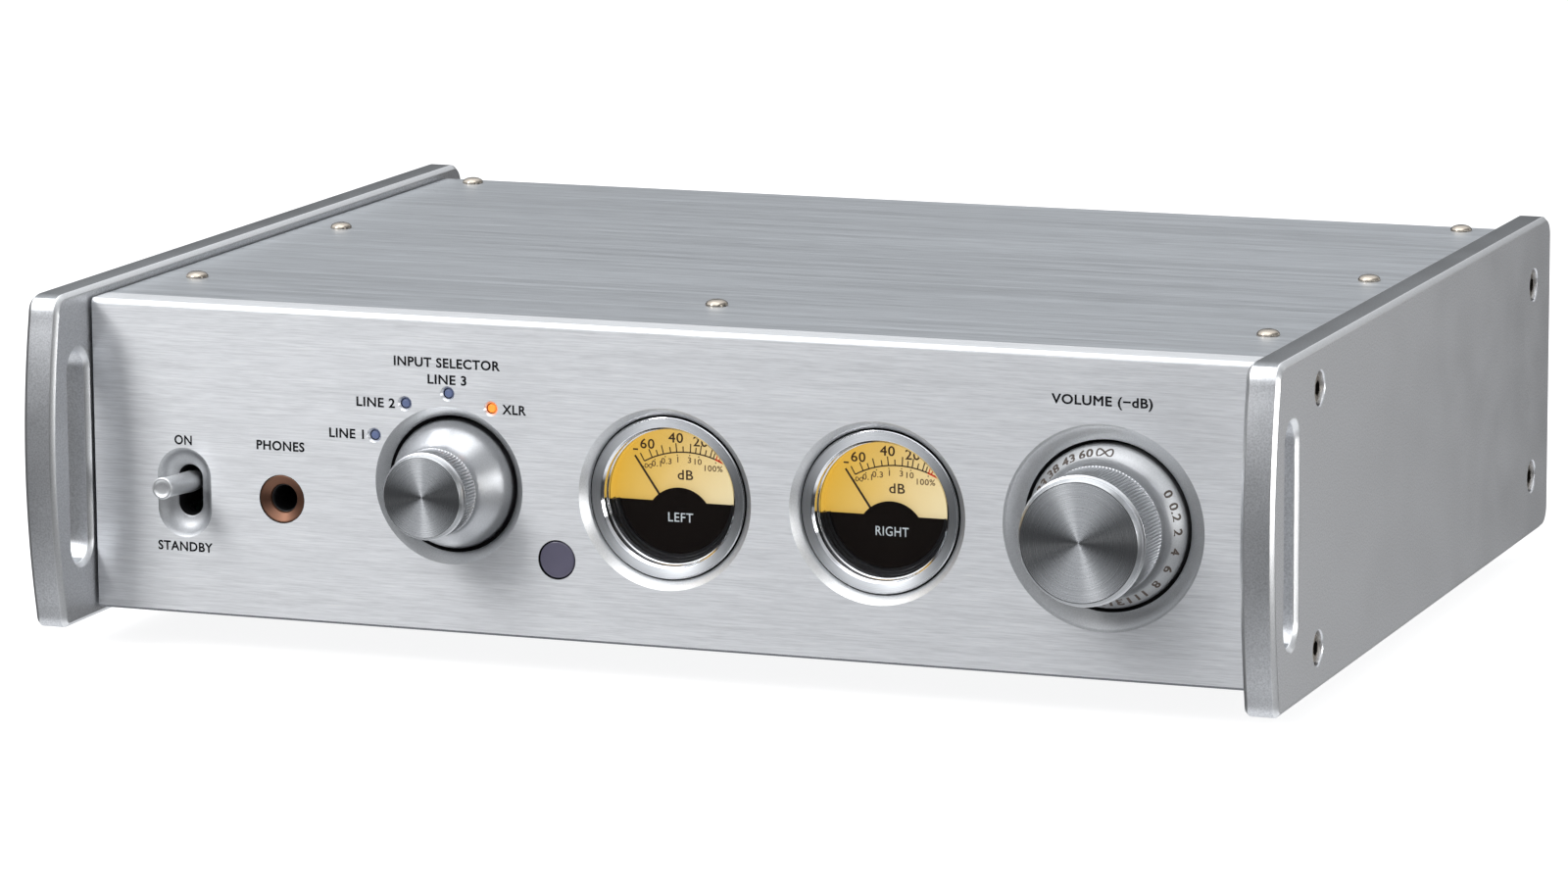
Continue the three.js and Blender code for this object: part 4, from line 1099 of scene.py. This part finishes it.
def mask(side):
    """The black plate in front of the pointer's root, with its rim and the channel's name."""
    shape = Shape(front_place(f"meter_{side}_bezel"))
    x0, z0, hump = HUMP
    radius = WALL - 0.03
    start = math.asin(HORIZON / radius)
    angles = [start - (math.pi + 2 * start) * k / 48 for k in range(49)]
    outline = [(radius * math.cos(angle), radius * math.sin(angle)) for angle in angles]
    reach = math.acos((HORIZON - z0) / hump)
    for k in range(25):
        angle = -reach + 2 * reach * k / 24
        outline.append((x0 + hump * math.sin(angle), z0 + hump * math.cos(angle)))
    shape.solid([[(x, depth, z) for x, z in outline] for depth in (MASK_FACE, MASK_BACK)])
    shape.solid([[(r * math.cos(a), y, r * math.sin(a)) for r, y in MASK_RIM] for a in angles], 2)
    write(shape, side.upper(), 2.0, (1.1, -5.05), MASK_FACE, 5.85 if side == "left" else 7.6, 1, 0.004)
    piece(f"meter_{side}_mask", shape, ["mask_black", "mask_ink", "mask_rim"], sharp=30)


def needle(side):
    node = f"meter_{side}_needle"
    place = front_place(f"meter_{side}_bezel") + Vector((NEEDLE_PIVOT[0], 0, NEEDLE_PIVOT[1])) * MM
    shape = Shape(place, Matrix.Rotation(math.radians(NEEDLE_REST), 3, "Y"))
    edge = [(0.5, -3.5), (0.4, 0), (0.24, 4), (0.18, 17.5)]
    outline = edge + [(-x, z) for x, z in reversed(edge)]
    shape.solid([[(x, depth, z) for x, z in outline] for depth in (7.35, 7.55)])
    drum = eased([
        (0, 7.2), (1.6, 7.2), (1.6, 7.75), (1, 7.75, 0), (1, 10.2, 0), (4.4, 10.2), (4.4, 16.2),
        (0, 16.2),
    ], 0.15, 2)
    lathe(shape, drum, count=40)
    finished(node, shape, ["needle"], f"pointer_{side}", 30)


def meters():
    for side in SIDES:
        for make in (movement, mask, needle, bezel, meter_glass):
            make(side)


# ------------------------------------------------------------------ case

SIDE_THICKNESS = 7.6
SLOT_RADIUS = 4.75
SLOT_SPAN = 19.35
SLOT_BEHIND = 13.15  # the slot's centre line, behind the panel's foremost point
BOLT_CORNERS = ("front_lower", "front_upper", "rear_lower", "rear_upper")
BOLT_HEAD = 3.5
COVER_SCREWS = sorted(name for name in frame["nodes"] if name.startswith("cover_screw_"))


def bezier(start, control, end, steps):
    made = []
    for k in range(1, steps + 1):
        t = k / steps
        made.append(tuple(
            a * (1 - t) ** 2 + 2 * b * t * (1 - t) + c * t * t for a, b, c in zip(start, control, end)
        ))
    return made


def side_outline(low, high):
    """The side panel's outline in depth and height: round rear corners and a bowed front edge."""
    front, rear = low.y / MM, high.y / MM
    bottom, top = low.z / MM, high.z / MM
    corner = 5.0
    ends = front + 3.6
    middle = (bottom + top) / 2
    points = [(front + 5.8, bottom)]
    for centre, start in (((rear - corner, bottom + corner), -90), ((rear - corner, top - corner), 0)):
        for k in range(11):
            angle = math.radians(start + 9 * k)
            points.append((centre[0] + corner * math.cos(angle), centre[1] + corner * math.sin(angle)))
    points.append((front + 8.5, top))
    points += bezier(points[-1], (front + 3.9, top), (ends, top - 4.4), 8)
    points += bezier(points[-1], (2 * front - ends, middle), (ends, bottom + 3.4), 20)
    points += bezier(points[-1], (front + 3.9, bottom), (front + 5.8, bottom), 6)[:-1]
    return points


def inset(outline, amount):
    """The outline moved inwards."""
    made = []
    count = len(outline)
    for i in range(count):
        here = Vector(outline[i])
        before = (here - Vector(outline[i - 1])).normalized()
        after = (Vector(outline[(i + 1) % count]) - here).normalized()
        first = Vector((-before.y, before.x))
        second = Vector((-after.y, after.x))
        made.append(tuple(here + (first + second) * amount / (1 + first.dot(second))))
    return made


def side_panel(hand, sign):
    node = f"side_panel_{hand}"
    low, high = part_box(node)
    shape = Shape()
    outer_face = sign * max(abs(low.x), abs(high.x)) / MM

    def across(points, depth):
        return [(outer_face - sign * depth, y, z) for y, *_, z in points]

    back = SIDE_THICKNESS
    edge = eased([(2, 0), (1, 0), (0, 1), (0, back - 1), (1, back), (2, back)], 0.16, 2)[1:-1]
    rim = next(k for k, each in enumerate(edge) if each[1] > 1.5)
    numbers = [0 if k + 1 == rim else 1 for k in range(len(edge))]
    outline = side_outline(low, high)
    outer = shape.chain([across(inset(outline, amount), depth) for amount, depth in edge], numbers)
    centre = (low.y / MM + SLOT_BEHIND, (low.z + high.z) / 2 / MM)
    slot = [capsule(SLOT_RADIUS + amount, SLOT_SPAN, depth, centre, 24) for amount, depth in edge]
    holes = [shape.chain([across(ring, ring[0][1]) for ring in slot], numbers)]
    drill = eased([(4.05, 0), (3.77, 0.28, 0.1), (3.77, 4.2), (2.2, 4.2), (2.2, SIDE_THICKNESS)], 0.1, 2)
    for corner in BOLT_CORNERS:
        bolt = centre_of(f"side_bolt_{hand}_{corner}")
        rings = [circle(radius, depth, (bolt.y / MM, bolt.z / MM), 48) for radius, depth in drill]
        holes.append(shape.chain([across(ring, ring[0][1]) for ring in rings]))
    shape.plate(outer, holes)
    mesh = shape.mesh(f"{node}_finished")
    # Upward faces take a dark copy of the blasted aluminium, painted shade.
    for face in mesh.polygons:
        if face.material_index == 0 and face.normal.z > 0.9:
            face.material_index = 2
    finished(node, mesh, ["blasted", "cut_edge", "blasted_top"], sharp=28)


def socket_bolt():
    """A socket-head bolt at the origin, with its hexagon recess."""
    head = eased([
        (0, -BOLT_HEAD), (2.9, -BOLT_HEAD, 0.3), (3.4, -3.05, 0.2), (3.4, 0, 0.1), (1.9, 0, 0),
        (1.9, 8.1, 0.3), (0, 8.1),
    ], 0.15)
    # The hexagon's faces carry material 1, the painted shade of the recess.
    hexagon = turned([(0, -4.5), (1.78, -4.5), (1.78, -1.5), (0, -1.2)], count=6, number=1)
    return carved(turned(head, count=48).mesh("bolt"), hexagon.mesh("hexagon"))


def cover_screw():
    """A pan-head screw at the origin, with its cross recess."""
    head = eased([
        (0, -1.35), (1.2, -1.3, 0.5), (2.15, -0.9, 0.6), (2.55, -0.35, 0.25), (2.55, 0, 0.05), (1.35, 0, 0),
        (1.35, 4.2), (0, 4.2),
    ], 0.2, 4)
    cross = Shape()
    for width, height in ((3.3, 0.75), (0.75, 3.3)):
        rings = []
        for size, depth in ((1.05, -2), (1.0, -1.3), (0.75, -0.5)):
            x, z = width * size / 2, height * size / 2
            rings.append(rectangle((-x, x), (-z, z), depth))
        # The cross's faces carry material 1, the painted shade of the recess.
        cross.solid(rings, 1)
    return carved(turned(head, count=48).mesh("screw"), cross.mesh("cross"))


COVER_RISE = 0.13  # the cover meets the front panel's top without a step
SCREW_HOLE = [(1.75, 0), (1.65, 0.1), (1.65, 1.6)]


def top_cover():
    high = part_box("top_cover")[1]
    top, half = high.z / MM + COVER_RISE, high.x / MM
    front, rear = FACE / MM + PANEL_DEPTH + 0.02, high.y / MM
    shape = Shape((0, 0, 0), UPWARD)
    edge = eased([(1, 0), (0, 0), (0, 1.6), (1, 1.6)], 0.12, 2)[1:-1]
    outer = []
    for amount, depth in edge:
        x = half - amount * 0.2
        outer.append(rectangle((-x, x), (front, rear - amount), depth - top))
    holes = []
    for node in COVER_SCREWS:
        middle = centre_of(node)
        centre = (middle.x / MM, middle.y / MM)
        holes.append([circle(radius, depth - top, centre, 32) for radius, depth in SCREW_HOLE])
    shape.plate(shape.chain(outer), [shape.chain(hole) for hole in holes])
    finished("top_cover", shape, ["cover"], sharp=25)


def fasteners():
    bolt, screw = socket_bolt(), cover_screw()
    for hand, sign, turn in (("left", -1, LEFT), ("right", 1, RIGHT)):
        for corner in BOLT_CORNERS:
            node = f"side_bolt_{hand}_{corner}"
            low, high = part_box(node)
            middle = (low + high) / 2
            edge = max(abs(low.x), abs(high.x)) - BOLT_HEAD * MM
            mesh = set_down(bolt, Vector((sign * edge, middle.y, middle.z)), turn)
            finished(node, mesh, ["nickel", "recess"])
    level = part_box("top_cover")[1].z + (COVER_RISE + 0.02) * MM
    for node in COVER_SCREWS:
        middle = centre_of(node)
        mesh = set_down(screw, Vector((middle.x, middle.y, level)), UPWARD)
        finished(node, mesh, ["nickel", "recess"])


def feet():
    profile = eased([
        (0, 0.9), (7.5, 0.9), (7.7, 0.0, 0.3), (9.8, 0.0, 0.4), (10.6, 0.5, 0.3), (13.7, 4.3, 0.8),
        (14, 5.2, 0.3), (14, 8.6, 0.3), (2, 8.6), (2, 13.6), (0, 13.6),
    ], 0.3)

    def underfoot(first, second):
        return 1 if first[1] < 0.95 and first[0] < 10 else 0

    for name in ("front_left", "front_right", "rear"):
        node = f"foot_{name}"
        middle = centre_of(node)
        place = (middle.x, middle.y, FLOOR_LEVEL)
        shape = turned(profile, place, DOWNWARD, count=72, number=underfoot)
        finished(node, shape, ["black_metal", "rubber"])


# ------------------------------------------------------------------ rear

POSTS = ("left_positive", "left_negative", "right_positive", "right_negative")
PHONO_COLUMNS = (-52, -36, -20)
PHONO_ROWS = (9, -9)
LABEL = 1.9  # the height of the rear's capitals
LABEL_LINE = 20.5


def rear_place(x=0.0):
    return Vector((x, REAR, SOCKET_LINE))


def rear_x(node):
    """A node's centre across the rear, in the rear's own local x."""
    return -centre_of(node).x / MM


def rear_panel():
    shape = Shape(rear_place(), BACK)
    low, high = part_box("rear_panel")
    bottom, top = (low.z - SOCKET_LINE) / MM, (high.z - SOCKET_LINE) / MM
    half = high.x / MM
    shoulder, tongue = top - 2.85, 120.7
    outline = [
        (-half, bottom), (half, bottom), (half, shoulder), (tongue, shoulder), (tongue, top), (-tongue, top),
        (-tongue, shoulder), (-half, shoulder),
    ]
    edge = eased([(1, 0), (0, 0), (0, 2), (1, 2)], 0.15, 2)[1:-1]
    outer = shape.chain([[(x, depth, z) for x, z in inset(outline, amount)] for amount, depth in edge])
    places = [(4.95, (-x, z)) for x in PHONO_COLUMNS for z in PHONO_ROWS]
    places += [(12, (rear_x(f"balanced_input_{side}"), 0)) for side in SIDES]
    places += [(5, (rear_x(f"speaker_cap_{name}"), 0)) for name in POSTS]
    holes = []
    for radius, centre in places:
        holes.append(shape.chain([circle(radius + amount, depth, centre, 48) for amount, depth in edge]))
    inlet = (rear_x("mains_inlet"), 0)
    holes.append(shape.chain([rounded_box(28, 20.4, 1.0, depth, inlet) for depth in (0, 2)]))
    shape.plate(outer, holes)
    finished("rear_panel", shape, ["rear"], sharp=28)


def rear_lettering():
    shape = Shape(rear_place(), BACK)
    for number, x in enumerate(PHONO_COLUMNS):
        write(shape, f"LINE {number + 1}", LABEL, (-x, LABEL_LINE), 0, 9)
    write(shape, "L", LABEL, (62, 9), 0)
    write(shape, "R", LABEL, (62, -9), 0)
    for side in SIDES:
        write(shape, f"XLR {side[0].upper()}", LABEL, (rear_x(f"balanced_input_{side}"), LABEL_LINE), 0, 8)
        pair = [rear_x(f"speaker_cap_{side}_{sign}") for sign in ("positive", "negative")]
        write(shape, f"SPEAKER {side[0].upper()}", LABEL, (sum(pair) / 2, LABEL_LINE), 0, 16)
        for x, sign in zip(pair, ("+", "-")):
            write(shape, sign, 2.2, (x, -18), 0, 1.8)
    write(shape, "AC IN", LABEL, (rear_x("mains_inlet"), LABEL_LINE), 0, 8)
    piece("rear_lettering", shape, ["white_ink"], sharp=20)


def body_behind(shape, flange, rings):
    """A socket's body behind its flange: two rings, the first of them cut into the flange's back."""
    back, deep = shape.chain(rings)
    shape.fill(flange, [back])
    shape.fill(deep)


def mains_inlet():
    shape = Shape(rear_place(centre_of("mains_inlet").x), BACK)
    sizes = [
        (30.2, 23.2, -0.35), (31, 24, -0.35), (31, 24, -2.3), (30.4, 23.4, -2.6), (25.2, 17.3, -2.6),
        (24.4, 16.5, -2.2), (24.2, 16.3, 13.4),
    ]
    rings = shape.chain([
        rounded_box(width, height, 2.2 if width > 26 else 3.0, depth) for width, height, depth in sizes
    ])
    shape.fill(rings[-1])
    body_behind(shape, rings[0], [rounded_box(27, 19.4, 3.0, depth) for depth in (-0.35, 18)])
    for x, z in ((-7, -2), (7, -2), (0, 2)):
        block(shape, (x - 1, x + 1), (3.5, 15), (z - 2, z + 2), 0.3, 1)
    finished("mains_inlet", shape, ["black_plastic", "nickel"])


def phono_sockets():
    shape = Shape(rear_place(), BACK)
    block(shape, (12, 60), (2.3, 16), (-18, 18), 0.6, 3)
    shell = eased([
        (4.4, 2.4), (4.4, -0.35), (6.2, -0.35), (6.2, -1.5), (4.6, -1.7), (4.3, -2.1), (4.15, -2.6),
        (4.15, -10.0), (3.85, -10.4), (3.35, -10.2), (3.3, -3.5), (0, -3.5),
    ], 0.12, 2)
    insulator = eased([(3.25, -3.0), (3.25, -9.6), (1.75, -9.6), (1.7, -3.0)], 0.1, 2)
    pin = [(1.7, -3.2), (1.7, -9.3), (1.45, -9.3), (1.45, -3.2), (1.7, -3.2)]
    for x in PHONO_COLUMNS:
        for z in PHONO_ROWS:
            lathe(shape, shell, (-x, z), 48)
            lathe(shape, insulator, (-x, z), 40, 1 if z > 0 else 2)
            lathe(shape, pin, (-x, z), 24)
    materials = ["gold", "white_plastic", "red_plastic", "black_plastic"]
    finished("line_input_block", shape, materials)


def balanced_input(side):
    node = f"balanced_input_{side}"
    shape = Shape(rear_place(centre_of(node).x), BACK)
    plate = [(26, 31, -0.35), (26, 31, -1.9), (25.4, 30.4, -2.3)]
    plate = shape.chain([rounded_box(width, height, 3.5, depth) for width, height, depth in plate])
    groove = [(9.6, -2.3), (9.6, 15), (7.7, 15), (7.7, -1.5), (7.4, -1.9)]
    groove = shape.chain([circle(radius, depth, count=64) for radius, depth in groove])
    shape.fill(plate[-1], [groove[0]])
    body_behind(shape, plate[0], [circle(11.6, depth, count=64) for depth in (-0.35, 22)])
    holes = []
    for centre in ((-3.6, 1.8), (0, -3.4), (3.6, 1.8)):
        mouth, foot = shape.chain([circle(1.3, depth, centre, 24) for depth in (-1.9, 10)], 1)
        shape.fill(foot, number=1)
        holes.append(mouth)
    shape.fill(groove[-1], holes)
    for x, z in ((-9.6, 12.2), (9.6, -12.2)):
        lathe(shape, [(0, -3.2), (1.6, -3.1), (2.2, -2.3), (0, -2.2)], (x, z), 24, 2)
    finished(node, shape, ["black_plastic", "gold", "nickel"])


def speaker_terminals():
    shape = Shape(rear_place(), BACK)
    xs = [rear_x(f"speaker_cap_{name}") for name in POSTS]
    block(shape, (min(xs) - 12, max(xs) + 12), (-4, -0.35), (-13, 13), 0.7, 1)
    collar = eased([(0, -3.5), (8.6, -3.5), (8.6, -5.6), (8.2, -6), (0, -6)], 0.2)
    stud = eased([(0, 12), (3, 12), (3, -39.1), (2.6, -39.5), (2.1, -39.5), (2.1, -18), (0, -18)], 0.15)
    for x in xs:
        lathe(shape, collar, (x, 0), 48, 1)
        lathe(shape, stud, (x, 0), 40)
    finished("speaker_terminals", shape, ["gold", "black_plastic"])


def speaker_cap(name):
    node = f"speaker_cap_{name}"
    end = (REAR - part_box(node)[1].y) / MM
    flutes = 20

    def grip(radius, depth, angle):
        inside = end + 1.6 < depth < -18.6 and radius > 7.2
        return radius - 0.35 * (0.5 - 0.5 * math.cos(flutes * angle)) if inside else radius

    profile = eased([
        (3.3, -14), (7.8, -14, 0.3), (7.8, -17.5, 0.3), (7.4, -18.5), (7.4, -18.8, 0), (7.4, -26, 0),
        (7.4, -36, 0), (7.4, end + 1.5, 0.3), (6.2, end, 0.3), (2.2, end), (2.2, -40.2, 0), (3.3, -40.2, 0),
    ], 0.2)
    place = rear_place(centre_of(node).x)
    shape = turned([*profile, profile[0]], place, BACK, count=8 * flutes, ripple=grip)
    colour = "red_plastic" if name.endswith("positive") else "black_plastic"
    finished(node, shape, [colour], f"cap_{name}", 40)


def rear():
    rear_panel()
    rear_lettering()
    mains_inlet()
    phono_sockets()
    for side in SIDES:
        balanced_input(side)
    speaker_terminals()
    for name in POSTS:
        speaker_cap(name)


# ------------------------------------------------------------------ CAD nodes that stay in view

KEPT = {
    "chassis": ("sheet", "chassis_sheet"),
    "volume_spindle": ("steel", "bright_steel"),
    "selector_spindle": ("steel", "bright_steel"),
    "volume_encoder": ("black_metal", "black_metal"),
    "selector_encoder": ("black_metal", "black_metal"),
    "power_switch": ("black_metal", "black_metal"),
    "transformer": ("winding", "copper_winding"),
    "amplifier_board": ("board", "circuit_board"),
    "control_board": ("board", "circuit_board"),
    "heatsink": ("black_metal", "black_metal"),
}


def kept_nodes():
    for node, (material, slot) in KEPT.items():
        held = frame["nodes"][node]
        held.data.materials.clear()
        held.data.materials.append(M[material])


# ------------------------------------------------------------------ studio and camera

# How bright the studio is at each height, from straight down (-1) to straight up (1).
SKY = [(-1, 0.95), (-0.6, 0.95), (-0.42, 0.06), (0.1, 0.04), (0.2, 0.22), (0.36, 1.2), (0.6, 1.58), (1, 1.5)]
BEHIND = 0.47  # how much of the light is missing low behind the object
BESIDE = 0.6  # and above the floor to its right
# A white screen stands behind the object, to its right.
SCREEN_SIDE = (0.6, 0.75, -0.1)
SCREEN_LEVEL = 0.1


def world():
    """A studio: white to the camera, and for lighting a bright top and bottom with a dark horizon."""
    made = bpy.data.worlds.new("studio")
    bpy.context.scene.world = made
    made.use_nodes = True
    sky = Nodes(made.node_tree)

    def eased_between(value, start, end, low, high):
        return sky.between(value, low, high, start, end, "SMOOTHSTEP")

    def times(first, second):
        return sky.math("MULTIPLY", first, second)

    direction = sky.node("TexCoord").outputs["Generated"]
    parts = sky.node("SeparateXYZ", {0: direction}).outputs
    stops = [((rise + 1) / 2, (level * 0.97, level * 0.99, level * 1.02)) for rise, level in SKY]
    light = sky.ramp(sky.between(parts["Z"], 0, 1, -1, 1), stops)
    rear_part = eased_between(parts["Y"], 0.0, 0.55, 0, BEHIND)
    over_floor = eased_between(parts["Z"], -0.1, 0.1, 0, 1)
    under_top = eased_between(parts["Z"], 0.6, 0.9, 1, 0)
    behind = eased_between(times(rear_part, times(over_floor, under_top)), 0, 1, 1, 0)
    right_part = eased_between(parts["X"], 0.25, 0.6, 0, BESIDE)
    beside = eased_between(times(right_part, over_floor), 0, 1, 1, 0)
    dimmed = sky.scaled(light, times(behind, beside))
    toward = sky.vector("DOT_PRODUCT", direction, Vector(SCREEN_SIDE).normalized())["Value"]
    lit = sky.vector("ADD", dimmed, eased_between(toward, 0.72, 0.97, 0, SCREEN_LEVEL))[0]
    seen = sky.mixed(sky.node("LightPath").outputs["Is Camera Ray"], lit, (1, 1, 1, 1))
    sky.feed(sky.tree.nodes["Background"], {"Color": seen})


def softbox(name, place, aim, size, power, visible=True):
    light = bpy.data.lights.new(name, "AREA")
    light.shape = "RECTANGLE"
    light.size, light.size_y = size
    light.energy = power
    holder = bpy.data.objects.new(name, light)
    bpy.context.scene.collection.objects.link(holder)
    holder.location = place
    holder.rotation_mode = "QUATERNION"
    holder.rotation_quaternion = (Vector(aim) - Vector(place)).to_track_quat("-Z", "Y")
    holder.visible_camera = visible


def studio():
    world()
    softbox("overhead", (-0.1, -0.25, 1.15), (0, 0, 0.05), (1.3, 0.9), 4.2)
    softbox("key", (-1.0, -1.2, 1.2), (0, 0, 0.05), (0.6, 0.6), 10)
    softbox("side_screen", (0.43, 0.36, 0.03), (0.15, -0.06, 0.04), (0.2, 0.5), 0.24, False)
    softbox("right_card", (0.45, -0.24, 0.08), (0.145, -0.12, 0.04), (0.12, 0.14), 0.4, False)
    floor = Shape()
    reach = 12000
    floor.face(floor.add([(-reach, -reach, 0), (reach, -reach, 0), (reach, reach, 0), (-reach, reach, 0)]))
    mesh = floor.mesh("floor")
    paint = Paint("floor", (0.3, 0.3, 0.3), 0.8)
    paint.tint(paint.noise(3, detail=1.0), 0.995, 1.005)
    paint.put({"Emission Color": (1, 1, 1, 1), "Emission Strength": 0.85, "Specular IOR Level": 0.0})
    mesh.materials.append(paint.material)
    made = bpy.data.objects.new("floor", mesh)
    made.location.z = FLOOR_LEVEL - 0.0002
    bpy.context.scene.collection.objects.link(made)
    made.visible_glossy = False


CAMERA_PLACE = Vector((0.5365, -1.4480, 0.3175))
CAMERA_LENS = 154.37
CAMERA_YAW = math.radians(20.809)
CAMERA_PITCH = math.radians(-10.376)
CAMERA_ROLL = math.radians(-0.380)


def camera():
    data = bpy.data.cameras.new("camera")
    data.sensor_width = 36
    data.lens = CAMERA_LENS
    data.clip_start = 0.05
    data.clip_end = 60
    held = bpy.data.objects.new("camera", data)
    bpy.context.scene.collection.objects.link(held)
    level = Matrix.Rotation(CAMERA_YAW, 3, "Z") @ Matrix.Rotation(math.pi / 2 + CAMERA_PITCH, 3, "X")
    basis = level @ Matrix.Rotation(CAMERA_ROLL, 3, "Z")
    held.matrix_world = Matrix.Translation(CAMERA_PLACE) @ basis.to_4x4()
    bpy.context.scene.camera = held


# ------------------------------------------------------------------ everything in turn

camera()
studio()
bpy.context.scene.view_settings.view_transform = "Standard"
front_panel()
front_lettering()
knobs()
power_lever()
headphone_socket()
lamps()
remote_window()
meters()
for hand, sign in (("left", -1), ("right", 1)):
    side_panel(hand, sign)
top_cover()
fasteners()
feet()
rear()
kept_nodes()
